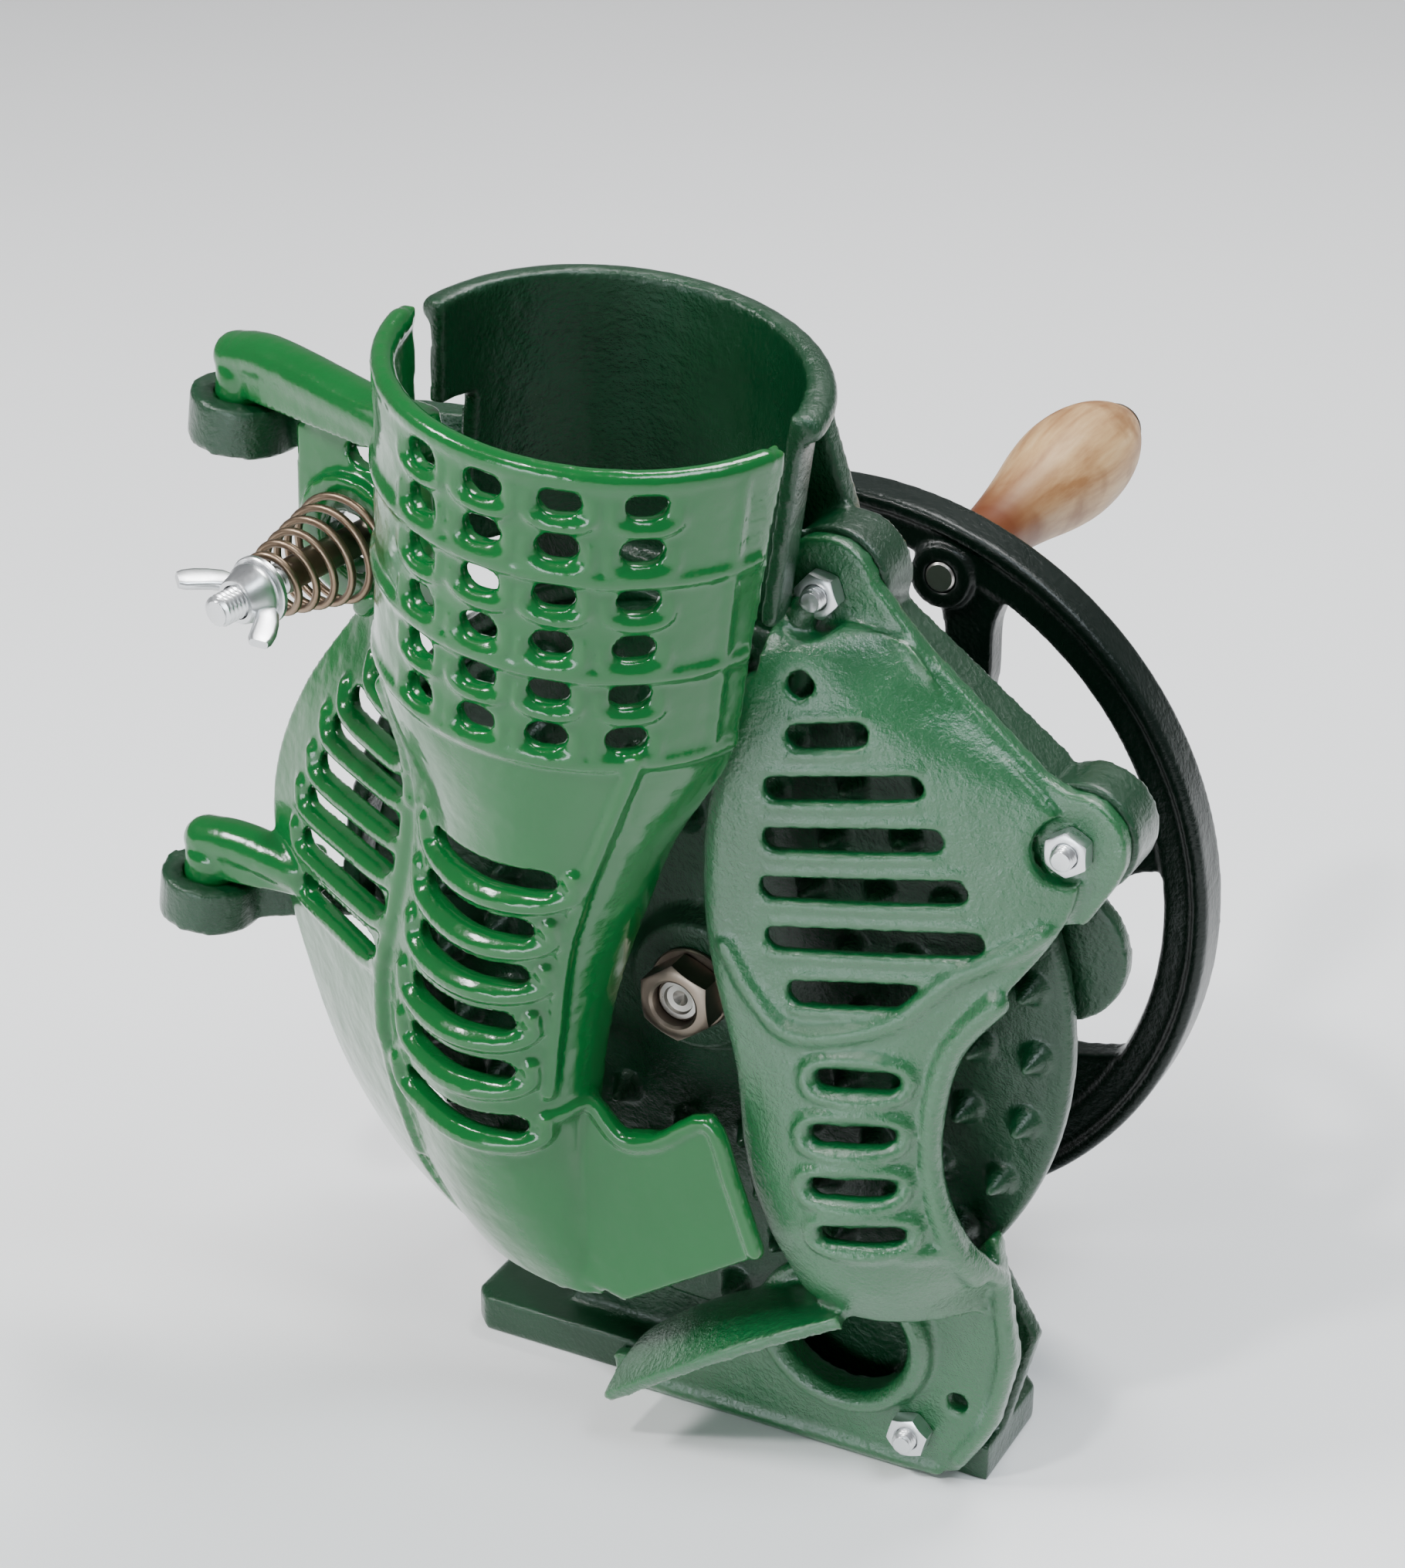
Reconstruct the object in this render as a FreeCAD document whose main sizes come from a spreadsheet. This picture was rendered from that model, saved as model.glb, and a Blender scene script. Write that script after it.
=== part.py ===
import FreeCAD, Part
import math
import os

import Sketcher

# Hand-cranked cast-iron corn sheller for the edge of a box or bench.
# Row frame: +Z up, origin at the middle of the base's bottom face, the
# operator stands at -Y, the toothed disc turns on a shaft along Y and the
# flywheel with its crank handle is at +Y.  All lengths are millimetres.

V = FreeCAD.Vector
X_AXIS = V(1, 0, 0)
Y_AXIS = V(0, 1, 0)
Z_AXIS = V(0, 0, 1)

doc = FreeCAD.newDocument("CornSheller")
sheet = doc.addObject("Spreadsheet::Sheet", "Sizes")

DRIVING_SIZES = {
    # base plate
    "base_length": 152, "base_depth": 36, "base_thickness": 10.3,
    "base_hole_dia": 9, "base_hole_spacing": 112, "base_hole_y": 5,
    # shaft and disc
    "shaft_x": -6, "shaft_height": 126, "shaft_dia": 14,
    "disc_radius": 98, "disc_thickness": 5.5, "disc_front_y": -16,
    "disc_hub_radius": 20, "disc_hub_rise": 7, "tooth_base_dia": 9.5, "tooth_height": 8,
    # back casting
    "mating_y": -18, "plate_front_y": -8, "plate_thickness": 5, "plate_radius": 90,
    "boss_radius": 17, "boss_rear_y": 46, "bush_radius": 10, "bush_length": 18,
    "lug_radius": 14, "wall_thickness": 5,
    # throat tube shared by the back casting and the gate
    "throat_x": -13, "throat_y": -50, "throat_top": 296,
    "throat_radius": 48, "throat_bottom_radius": 45.5, "throat_wall": 4,
    "throat_lean": 8.1, "throat_tilt": 6, "throat_length": 72,
    # gate hinge
    "hinge_x": -130, "hinge_y": -24, "hinge_top_z": 256, "hinge_spacing": 138,
    "hook_radius": 13.5, "hook_height": 13, "pin_radius": 7.5, "pin_clearance": 0.1,
    # fasteners
    "bolt_dia": 6, "bolt_nut_flats": 10, "bolt_nut_height": 5, "cover_lug_thickness": 5,
    "shaft_nut_flats": 18, "shaft_nut_height": 9,
    # flywheel and crank
    "wheel_radius": 105, "wheel_front_y": 58, "wheel_width": 13.5, "rim_depth": 13,
    "spoke_count": 7, "spoke_thickness": 8, "wheel_hub_radius": 20,
    "crank_radius": 90, "crank_angle": 71.6, "spindle_dia": 8,
    "grip_length": 106, "grip_max_radius": 15,
    # tension spring
    "tension_bolt_dia": 8, "tension_length": 48, "spring_length": 30,
    "spring_wire_dia": 2, "spring_big_radius": 13.5, "spring_small_radius": 7,
}
for row, (alias, value) in enumerate(DRIVING_SIZES.items(), start=1):
    sheet.set("A%d" % row, alias)
    sheet.set("B%d" % row, str(value))
    sheet.setAlias("B%d" % row, alias)
doc.recompute()


class Size:
    """A length that knows its value and the sheet expression it comes from."""

    def __init__(self, value, text):
        self.value = float(value)
        self.text = text

    def combine(self, other, sign, result):
        text = other.text if isinstance(other, Size) else repr(float(other))
        return Size(result, "(%s %s %s)" % (self.text, sign, text))

    def __add__(self, other):
        return self.combine(other, "+", self.value + number(other))

    def __sub__(self, other):
        return self.combine(other, "-", self.value - number(other))

    def __mul__(self, other):
        return self.combine(other, "*", self.value * number(other))

    def __truediv__(self, other):
        return self.combine(other, "/", self.value / number(other))


def number(quantity):
    return quantity.value if isinstance(quantity, Size) else float(quantity)


def size(alias):
    return Size(getattr(sheet, alias), "Sizes." + alias)


def bind(feature, prop, quantity):
    """Sets one property, through a sheet expression where the size has one."""
    setattr(feature, prop, number(quantity))
    if isinstance(quantity, Size):
        feature.setExpression(prop, quantity.text)


def fixed(value):
    """A size that is worked out here rather than kept in the sheet."""
    return Size(value, "%.4f" % value)


def turn(axis_from, axis_to):
    return FreeCAD.Rotation(axis_from, axis_to)


def place(position, direction=Z_AXIS):
    return FreeCAD.Placement(position, turn(Z_AXIS, direction))


def add(kind, name):
    return doc.addObject(kind, name)


def cylinder(name, radius, height, position, direction=Z_AXIS):
    feature = add("Part::Cylinder", name)
    bind(feature, "Radius", radius)
    bind(feature, "Height", height)
    feature.Placement = place(position, direction)
    return feature


def cone(name, radius_a, radius_b, height, position, direction=Z_AXIS):
    feature = add("Part::Cone", name)
    bind(feature, "Radius1", radius_a)
    bind(feature, "Radius2", radius_b)
    bind(feature, "Height", height)
    feature.Placement = place(position, direction)
    return feature


def box(name, length, width, height, position, rotation=None):
    feature = add("Part::Box", name)
    bind(feature, "Length", length)
    bind(feature, "Width", width)
    bind(feature, "Height", height)
    feature.Placement = FreeCAD.Placement(position, rotation or FreeCAD.Rotation())
    return feature


def shape_feature(name, shape):
    feature = add("Part::Feature", name)
    feature.Shape = shape
    return feature


def fuse(name, features):
    if len(features) == 1:
        return features[0]
    feature = add("Part::MultiFuse", name)
    feature.Shapes = features
    return feature


def cut(name, base, tools):
    feature = add("Part::Cut", name)
    feature.Base = base
    feature.Tool = fuse(name + "_tools", tools)
    return feature


def common(name, first, second):
    feature = add("Part::Common", name)
    feature.Base = first
    feature.Tool = second
    return feature


# ---------------------------------------------------------------- bodies

def new_body(name):
    body = add("PartDesign::Body", name)
    body.Label = name
    return body


def new_sketch(body, role, name):
    sketch = body.newObject("Sketcher::SketchObject", name)
    plane = [f for f in body.Origin.OriginFeatures if f.Role == role][0]
    sketch.AttachmentSupport = [(plane, "")]
    sketch.MapMode = "FlatFace"
    return sketch


def pin_point(sketch, geometry, vertex, x, y):
    """Holds one sketch vertex at sheet-driven distances from the origin."""
    for kind, axis, quantity in (("DistanceX", -2, x), ("DistanceY", -1, y)):
        if abs(number(quantity)) < 1e-9:
            sketch.addConstraint(Sketcher.Constraint("PointOnObject", geometry, vertex, axis))
            continue
        index = sketch.addConstraint(
            Sketcher.Constraint(kind, -1, 1, geometry, vertex, number(quantity)))
        if isinstance(quantity, Size):
            sketch.setExpression("Constraints[%d]" % index, quantity.text)


def draw_profile(sketch, points):
    """Closed outline of straight lines through sheet-driven points."""
    count = len(points)
    plain = [V(number(x), number(y), 0) for x, y in points]
    for i in range(count):
        sketch.addGeometry(Part.LineSegment(plain[i], plain[(i + 1) % count]), False)
    for i in range(count):
        sketch.addConstraint(Sketcher.Constraint("Coincident", i, 2, (i + 1) % count, 1))
    for i, (x, y) in enumerate(points):
        pin_point(sketch, i, 1, x, y)


def revolved_body(name, points, position, direction):
    """Solid of revolution; points are (radius, distance along the axis)."""
    body = new_body(name)
    sketch = new_sketch(body, "XZ_Plane", name + "_profile")
    draw_profile(sketch, points)
    revolution = body.newObject("PartDesign::Revolution", name + "_revolution")
    revolution.Profile = sketch
    revolution.ReferenceAxis = (sketch, ["V_Axis"])
    revolution.Angle = 360
    body.Placement = place(position, direction)
    return body


def hex_nut(name, flats, height, bore_radius, positions, direction):
    """Chamfered hexagon nuts with a plain bore, one solid for each position."""
    nuts = []
    for i, position in enumerate(positions):
        prism = add("Part::Prism", "%s_hexagon_%d" % (name, i))
        prism.Polygon = 6
        bind(prism, "Circumradius", flats / math.sqrt(3))
        bind(prism, "Height", height)
        prism.Placement = place(position, direction)
        bevel = cone("%s_bevel_%d" % (name, i), flats * 0.5 + number(height) * 1.8,
                     flats * 0.5 + 0.1, height, position, direction)
        bore = cylinder("%s_bore_%d" % (name, i), bore_radius, height, position, direction)
        blank = common("%s_blank_%d" % (name, i), prism, bevel)
        nuts.append(cut("%s_nut_%d" % (name, i), blank, [bore]))
    return nuts


def label_node(name, feature):
    feature.Label = name
    return feature


def group_node(name, features):
    """Several equal solids that share one node."""
    feature = add("Part::Compound", name)
    feature.Links = features
    feature.Label = name
    return feature


# ------------------------------------------------------- common positions

shaft_x = sheet.shaft_x
shaft_z = sheet.shaft_height
lean = math.radians(sheet.throat_lean)
tilt = math.radians(sheet.throat_tilt)
throat_top = V(sheet.throat_x, sheet.throat_y, sheet.throat_top)
throat_axis = V(math.tan(lean), -math.tan(tilt), 1).normalize()
hinge_axis = V(math.sin(lean), 0, math.cos(lean))
hinge_top = V(sheet.hinge_x, sheet.hinge_y, sheet.hinge_top_z)
hinge_bottom = hinge_top - hinge_axis * sheet.hinge_spacing
hinge_centres = (hinge_top, hinge_bottom)
mating_y = sheet.mating_y
lug_front_y = mating_y - sheet.cover_lug_thickness
lug_centres = (V(28, 0, 239), V(92, 0, 187.5), V(57.5, 0, 13.5))
crank_angle = math.radians(sheet.crank_angle)
crank_x = shaft_x + sheet.crank_radius * math.cos(crank_angle)
crank_z = shaft_z + sheet.crank_radius * math.sin(crank_angle)
TENSION_ANGLE = math.radians(10)
TENSION_DROP = 0.06
tension_dir = V(-math.sin(TENSION_ANGLE), -math.cos(TENSION_ANGLE), -TENSION_DROP).normalize()
SHAFT_WASHER = 1.5
THREAD_RADIUS = 6.0
DISC_HUB_FRONT_Y = sheet.disc_front_y - sheet.disc_hub_rise
SHAFT_FRONT_Y = DISC_HUB_FRONT_Y - SHAFT_WASHER - sheet.shaft_nut_height + 3
WHEEL_HUB_RISE = 6
WHEEL_HUB_FRONT_Y = sheet.wheel_front_y - WHEEL_HUB_RISE
WHEEL_HUB_REAR_Y = WHEEL_HUB_FRONT_Y + sheet.wheel_width + 10
SPOKE_BEARING = -68.0
WING_TURN = 148
tension_web = V(-90, -38, 235)


def at_y(point, y):
    return V(point.x, y, point.z)


def shaft_point(y):
    return V(shaft_x, y, shaft_z)


def throat_point(distance, angle_deg, radius):
    """Point on the throat tube: distance along the axis, angle from +X towards -Y."""
    side = Y_AXIS.cross(throat_axis).normalize()
    back = throat_axis.cross(side)
    angle = math.radians(angle_deg)
    return (throat_top + throat_axis * distance
            + side * (radius * math.cos(angle)) - back * (radius * math.sin(angle)))


def throat_radius_at(distance):
    drop = -distance / sheet.throat_length
    return sheet.throat_radius + (sheet.throat_bottom_radius - sheet.throat_radius) * drop


# -------------------------------------------------- cast shells and plates

def smooth_edge(points):
    curve = Part.BSplineCurve()
    curve.interpolate(points)
    return curve.toShape()


def grid_surface(rows):
    surface = Part.BSplineSurface()
    surface.interpolate(rows)
    return surface


def sample_curve(points, count):
    curve = Part.BSplineCurve()
    curve.interpolate(points)
    return curve.toShape().discretize(count)


def refine(rows, columns, levels):
    """Resamples rows of points to an even, finer grid along smooth curves."""
    dense = [sample_curve(row, columns) for row in rows]
    lines = [sample_curve([row[j] for row in dense], levels) for j in range(columns)]
    return [[line[i] for line in lines] for i in range(levels)]


def inner_rows(rows, thickness):
    """Moves each outer point of a shell inwards along the shell's own normal."""
    result = []
    for i, row in enumerate(rows):
        above = rows[max(i - 1, 0)]
        below = rows[min(i + 1, len(rows) - 1)]
        moved = []
        for j, point in enumerate(row):
            along = row[min(j + 1, len(row) - 1)] - row[max(j - 1, 0)]
            outward = along.cross(below[j] - above[j]).normalize()
            moved.append(point - outward * thickness)
        result.append(moved)
    return result


def cast_shell(rows, thickness):
    """Solid shell through rows of outer points, listed left to right and top to bottom."""
    outer = grid_surface(rows)
    inner = grid_surface(inner_rows(rows, thickness))
    faces = [outer.toShape(), inner.toShape()]
    for bound in (0, 1):
        faces.append(Part.makeRuledSurface(outer.uIso(outer.bounds()[bound]).toShape(),
                                           inner.uIso(inner.bounds()[bound]).toShape()))
    for bound in (2, 3):
        faces.append(Part.makeRuledSurface(outer.vIso(outer.bounds()[bound]).toShape(),
                                           inner.vIso(inner.bounds()[bound]).toShape()))
    skin = Part.makeCompound(faces)
    skin.sewShape()
    solid = Part.makeSolid(skin.Shells[0])
    if solid.Volume < 0:
        solid.reverse()
    return solid


def plan_rows(sections):
    """Rows of 3-D points from (height, plan points) pairs."""
    return [[V(x, y, height) for x, y in points] for height, points in sections]


def half_tube(start_deg, end_deg, length):
    """Part of the tapered throat tube between two angles about its axis."""
    base = throat_top - throat_axis * length
    radius_end = throat_radius_at(-length)
    wall = sheet.throat_wall
    outer = Part.makeCone(radius_end, sheet.throat_radius, length, base, throat_axis)
    bore = Part.makeCone(radius_end - wall, sheet.throat_radius - wall, length, base, throat_axis)
    below = -length - 5
    reach = 2 * sheet.throat_radius
    steps = 12
    rim = [throat_point(below, start_deg + (end_deg - start_deg) * i / steps, reach)
           for i in range(steps + 1)]
    apex = throat_point(below, 0, 0)
    wedge = Part.Face(Part.makePolygon([apex] + rim + [apex])).extrude(throat_axis * (length + 10))
    return outer.cut(bore).common(wedge)


def rim_roll(start_deg, end_deg, distance, radius_offset, roll_radius, domed=True):
    """Rolled bead that follows the throat tube between two angles."""
    points = [throat_point(distance, start_deg + (end_deg - start_deg) * i / 8.0,
                           throat_radius_at(distance) + radius_offset) for i in range(9)]
    arc = Part.Arc(points[0], points[4], points[8]).toShape()
    path = Part.Wire([arc])
    tangent = arc.tangentAt(arc.FirstParameter)
    circle = Part.Wire([Part.makeCircle(roll_radius, points[0], tangent)])
    tube = path.makePipeShell([circle], True, False)
    if not domed:
        return tube
    ends = [Part.makeSphere(roll_radius, points[0]), Part.makeSphere(roll_radius, points[8])]
    return tube.fuse(ends)


def cast_in_one(name, pieces, tools):
    """Node joined from its pieces one after another, then cut by all its tools."""
    solid = pieces[0]
    for piece in pieces[1:]:
        solid = solid.fuse(piece)
    feature = shape_feature(name, solid.cut(tools))
    feature.Placement = FreeCAD.Placement()
    return label_node(name, feature)


def plate_from(points, y_front, thickness):
    """Flat plate in an XZ plane; points are (x, z), joined by straight lines."""
    corners = [V(x, y_front, z) for x, z in points]
    face = Part.Face(Part.makePolygon(corners + corners[:1]))
    return face.extrude(V(0, thickness, 0))


def bar_between(start, end, width, depth):
    """Straight bar of rectangular section, rounded about Z at its ends."""
    run = V(end.x - start.x, end.y - start.y, 0)
    side = V(-run.y, run.x, 0).normalize() * (depth / 2.0)
    low = V(0, 0, -width / 2.0)
    corners = [start + side + low, end + side + low, end - side + low, start - side + low]
    bar = Part.Face(Part.makePolygon(corners + corners[:1])).extrude(V(0, 0, width))
    return bar.fuse([Part.makeCylinder(depth / 2.0, width, point + low) for point in (start, end)])


def stadium(centre, length, height, depth, slope_deg=0.0, yaw_deg=0.0):
    """Round-ended slot tool along X, cut through along Y, centred on a point."""
    half = (length - height) / 2.0
    middle = Part.makeBox(2 * half, depth, height, V(-half, -depth / 2.0, -height / 2.0))
    tools = [Part.makeCylinder(height / 2.0, depth, V(sign * half, -depth / 2.0, 0), Y_AXIS)
             for sign in (-1, 1)]
    tool = middle.fuse(tools)
    tool.rotate(V(0, 0, 0), Y_AXIS, -slope_deg)
    tool.rotate(V(0, 0, 0), Z_AXIS, yaw_deg)
    tool.translate(centre)
    return tool


# ---------------------------------------------------------- back casting

PLATE_Y = sheet.plate_front_y
PLATE_BACK = PLATE_Y + sheet.plate_thickness
LUG_DEPTH = 15
CHAMBER_WALL_RADIUS = 101.5
POCKET_RADIUS = 7.2
FOOT_POCKET_DEPTH = 5.7


def lug_rear_y(index):
    """Rear face of a cover lug on the frame; the foot lug is shallower."""
    return mating_y + (LUG_DEPTH if index < 2 else LUG_DEPTH - 3)


def chamber_wall():
    """Curved side wall round the upper left of the disc chamber."""
    depth = PLATE_BACK - (mating_y + 1)
    start = V(shaft_x, mating_y + 1, shaft_z)
    ring = Part.makeCylinder(CHAMBER_WALL_RADIUS + sheet.wall_thickness, depth, start, Y_AXIS)
    ring = ring.cut(Part.makeCylinder(CHAMBER_WALL_RADIUS, depth, start, Y_AXIS))
    reach = 140
    corners = [start]
    for angle in (108, 145, 183):
        bearing = math.radians(angle)
        corners.append(start + V(reach * math.cos(bearing), 0, reach * math.sin(bearing)))
    sector = Part.Face(Part.makePolygon(corners + corners[:1])).extrude(V(0, depth, 0))
    return ring.common(sector)


def frame_plates():
    right_lug = lug_centres[1]
    top_lug = lug_centres[0]
    between_lugs = [(-20, 200), (16, 236), (top_lug.x, top_lug.z), (40, 231), (82, 199),
                    (right_lug.x, right_lug.z), (96, 150), (70, 140), (20, 170)]
    pedestal = [(-52, 8), (-34, 60), (-40, 80), (60, 80), (84, 40), (76, 8)]
    chamber_floor = [(-104, 128), (-100, 165), (-80, 205), (-40, 226), (0, 216), (-20, 140)]
    neck = [(-66, 205), (-64, 262), (-40, 275), (18, 275), (28, 245), (16, 200)]
    return [
        plate_from(between_lugs, PLATE_Y, sheet.plate_thickness),
        plate_from(pedestal, PLATE_Y, sheet.plate_thickness),
        plate_from(chamber_floor, PLATE_Y, sheet.plate_thickness),
        plate_from(neck, PLATE_BACK - 2, 7),
        Part.makeCylinder(19, sheet.plate_thickness, V(82.5, PLATE_Y, 151), Y_AXIS),
    ]


def slanted_wall():
    start = V(38, mating_y, 232)
    end = V(82, mating_y, 199)
    run = (end - start).normalize()
    normal = V(run.z, 0, -run.x) * (sheet.wall_thickness / 2.0)
    corners = [start + normal, end + normal, end - normal, start - normal]
    face = Part.Face(Part.makePolygon(corners + corners[:1]))
    return face.extrude(V(0, PLATE_BACK - mating_y, 0))


def boss_ribs():
    """Four tapered ribs from the back plate to the bearing boss."""
    ribs = []
    thickness = 6
    for angle in (45, 135, 225, 315):
        corners = [V(0, PLATE_BACK - 1, 10), V(0, PLATE_BACK - 1, 74), V(0, 34, 15)]
        rib = Part.Face(Part.makePolygon(corners + corners[:1])).extrude(V(thickness, 0, 0))
        rib.translate(V(-thickness / 2.0, 0, 0))
        rib.rotate(V(0, 0, 0), Y_AXIS, angle)
        rib.translate(V(shaft_x, 0, shaft_z))
        ribs.append(rib)
    return ribs


def pedestal_gussets():
    gussets = []
    for x in (-44, 40):
        corners = [V(x, PLATE_BACK - 1, 8), V(x, 15, 8), V(x, PLATE_BACK - 1, 64)]
        gussets.append(Part.Face(Part.makePolygon(corners + corners[:1])).extrude(V(6, 0, 0)))
    return gussets


def hook_ring(centre):
    """Hook eye: a short tube about the hinge axis."""
    ring_height = sheet.hook_height
    start = centre - hinge_axis * (ring_height / 2.0)
    ring = Part.makeCylinder(sheet.hook_radius, ring_height, start, hinge_axis)
    bore = sheet.pin_radius + sheet.pin_clearance
    ring = ring.cut(Part.makeCylinder(bore, ring_height, start, hinge_axis))
    return ring


def hook_arm(centre, elbow, root):
    return [bar_between(centre + V(10, 4, 0), elbow, 12, 8), bar_between(elbow, root, 12, 8)]


def box_room(low, high):
    """Rectangular clearance between two opposite corners."""
    return Part.makeBox(high[0] - low[0], high[1] - low[1], high[2] - low[2], V(*low))


def throat_half():
    """Rear half of the throat tube, cleared for the gate's web and for the cover's top."""
    gate_room = box_room((-78, -52, 218), (-57, -33.6, 277))
    panel_room = box_room((12.5, -48, 190), (48, mating_y, 236))
    flange_front = lug_front_y - 0.5
    flange_room = box_room((12.5, flange_front, 190), (48, mating_y, 247.5))
    lug_room = Part.makeCylinder(sheet.lug_radius - 0.5, mating_y - flange_front,
                                 at_y(lug_centres[0], flange_front), Y_AXIS)
    tube = half_tube(182, 358, sheet.throat_length - 4)
    return tube.cut([gate_room, panel_room, flange_room, lug_room])


def bolt_head_pockets():
    """Spot faces behind the cover bolts, for their heads and washers."""
    pockets = []
    for i, centre in enumerate(lug_centres):
        depth = 10 if i < 2 else FOOT_POCKET_DEPTH
        pockets.append(Part.makeCylinder(POCKET_RADIUS, depth, at_y(centre, lug_rear_y(i)), Y_AXIS))
    return pockets


def make_frame():
    thickness = size("base_thickness")
    base = box("base_plate", size("base_length"), size("base_depth"), thickness,
               V(-sheet.base_length / 2.0, -sheet.base_depth / 2.0, 0))
    base_chamfer = add("Part::Chamfer", "base_corners")
    base_chamfer.Base = base
    upright_edges = []
    for i, edge in enumerate(base.Shape.Edges, start=1):
        low, high = edge.Vertexes[0].Point, edge.Vertexes[-1].Point
        rear_right = low.x > 0 and low.y > 0
        if abs(low.z - high.z) > 1 and (rear_right or low.x < 0):
            upright_edges.append((i, 4.0, 4.0))
    base_chamfer.Edges = upright_edges
    back_disc = cylinder("back_plate", size("plate_radius"), size("plate_thickness"),
                         shaft_point(PLATE_Y), Y_AXIS)
    boss = cylinder("bearing_boss", size("boss_radius"), size("boss_rear_y") - PLATE_Y,
                    shaft_point(PLATE_Y), Y_AXIS)
    lugs = [cylinder("frame_lug_%d" % i, size("lug_radius"), LUG_DEPTH, at_y(centre, mating_y),
                     Y_AXIS) for i, centre in enumerate(lug_centres[:2])]
    foot_lug = cylinder("frame_foot_lug", size("lug_radius") - 1.5, LUG_DEPTH - 3,
                        at_y(lug_centres[2], mating_y), Y_AXIS)
    hooks = [hook_ring(centre) for centre in hinge_centres]
    top_arm = hook_arm(hinge_top - Z_AXIS, V(-104, -12, 255), V(-58, -4, 255))
    low_arm = hook_arm(hinge_bottom, V(-116, -4, 118), V(-84, -5, 118))
    ear_front = tension_web - tension_dir * 17
    tension_ear = Part.makeCylinder(10, 11, ear_front, tension_dir * -1)
    ear_web = Part.makeBox(14, 7, 26, V(ear_front.x - 7, ear_front.y + 3, 230))
    pieces = frame_plates() + [chamber_wall(), slanted_wall(), throat_half()]
    pieces += boss_ribs() + pedestal_gussets() + hooks + top_arm + low_arm + [tension_ear, ear_web]
    features = [shape_feature("frame_web_%d" % i, piece) for i, piece in enumerate(pieces)]
    solid = fuse("frame_blank", [base_chamfer, back_disc, boss, foot_lug] + lugs + features)

    bush_bore = cylinder("bush_bore", size("bush_radius"), size("boss_rear_y") - PLATE_Y + 2,
                         shaft_point(PLATE_Y - 1), Y_AXIS)
    tools = [bush_bore]
    for i, sign in enumerate((-1, 1)):
        centre = V(sign * sheet.base_hole_spacing / 2.0, sheet.base_hole_y, -1)
        tools.append(cylinder("base_hole_%d" % i, size("base_hole_dia") / 2, thickness + 2, centre))
    for i, centre in enumerate(lug_centres):
        tools.append(cylinder("frame_bolt_hole_%d" % i, size("bolt_dia") / 2 + 0.2, LUG_DEPTH + 4,
                              at_y(centre, mating_y - 2), Y_AXIS))
    bore_length = sheet.throat_length
    bore_base = throat_top - throat_axis * bore_length
    inner = throat_radius_at(-bore_length) - sheet.throat_wall
    clear_bore = Part.makeCone(inner, sheet.throat_radius - sheet.throat_wall + 0.4, bore_length + 10,
                               bore_base, throat_axis)
    pins = [Part.makeCylinder(sheet.pin_radius + sheet.pin_clearance, sheet.hook_height + 8,
                              centre - hinge_axis * (sheet.hook_height / 2.0 + 4), hinge_axis)
            for centre in hinge_centres]
    bolt_hole = Part.makeCylinder(sheet.tension_bolt_dia / 2.0 + 0.2, 40, ear_front, tension_dir * -1)
    tools += [shape_feature("frame_tool_%d" % i, tool)
              for i, tool in enumerate([clear_bore, bolt_hole] + pins + bolt_head_pockets())]
    return label_node("frame", cut("frame", solid, tools))


# ------------------------------------------------------------------ gate

GATE_WALL = 4.0
TUBE_SECTIONS = (  # distance along the throat axis, left angle, right angle
    (0, 177, 13), (-20, 176, 14), (-40, 174, 15), (-60, 171, 16), (-76, 167, 17),
)
SPOUT_SECTIONS = (
    (188, ((-63, -53), (-46, -70), (-22, -80), (-4, -73), (4, -54))),
    (168, ((-66, -53), (-48, -67), (-25, -77), (-12, -70), (-5.5, -50))),
    (144, ((-71, -53), (-54, -65), (-34, -72.5), (-21, -66), (-15, -47))),
    (118, ((-75, -50), (-59, -61), (-39, -68.5), (-27, -61.5), (-21.5, -45))),
    (92, ((-77, -44), (-60, -55), (-42, -61.5), (-29, -57), (-23.5, -44))),
    (68, ((-72, -38), (-58, -48), (-42, -54), (-28, -53), (-19, -46))),
    (48, ((-58, -35), (-48, -42), (-36, -46), (-26, -48), (-17, -48))),
)
FLANK_SECTIONS = (
    (222, ((-84, -31), (-77, -37), (-68.5, -45))),
    (209, ((-97, -20), (-84, -31), (-68.5, -44))),
    (192, ((-110, -19.5), (-90, -35), (-63, -54))),
    (168, ((-123, -19.5), (-98, -35), (-65, -54.5))),
    (144, ((-127, -19.5), (-102, -35), (-70, -54.5))),
    (118, ((-122, -19.5), (-100, -34), (-74.5, -51.5))),
    (92, ((-114, -19.5), (-98, -31), (-77, -45.5))),
    (68, ((-102, -19.5), (-89, -29), (-73, -39.5))),
    (50, ((-82, -21), (-73, -27), (-60, -35))),
)
LEFT_SLOTS = (  # height, left end x, right end x
    (203, -84, -69), (192.5, -94, -65), (183, -101, -65), (171, -106, -68),
    (160, -111, -71), (147.5, -113.5, -74), (133.5, -115, -79),
)
RIGHT_SLOTS = (
    (179.5, -50, -12), (165, -55, -19), (150.5, -57.5, -22.7),
    (135, -61, -28), (119.5, -63.5, -30.5), (101.5, -70, -30),
)
LEFT_SLOT_Y = -38
LIP_FRONT_Y = -53
LIP_OUTLINE = (
    (-36, 84), (-24, 106), (-19, 107), (-10.5, 98.5), (0, 101), (14, 110), (21, 93), (28, 74),
    (-10, 49), (-36, 56),
)
RIGHT_SLOT_Y = -66
SLOT_HEIGHT = 6.5
TUBE_COLUMNS = (112, 92, 72, 51)
TUBE_ROWS = (-8, -19.5, -32, -44.5, -57, -69)
RIM_ROLL = 2.7
RIM_OFFSET = 2.2
BAND_RADIUS = 2.4
BAND_OFFSET = 3.1
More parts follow.
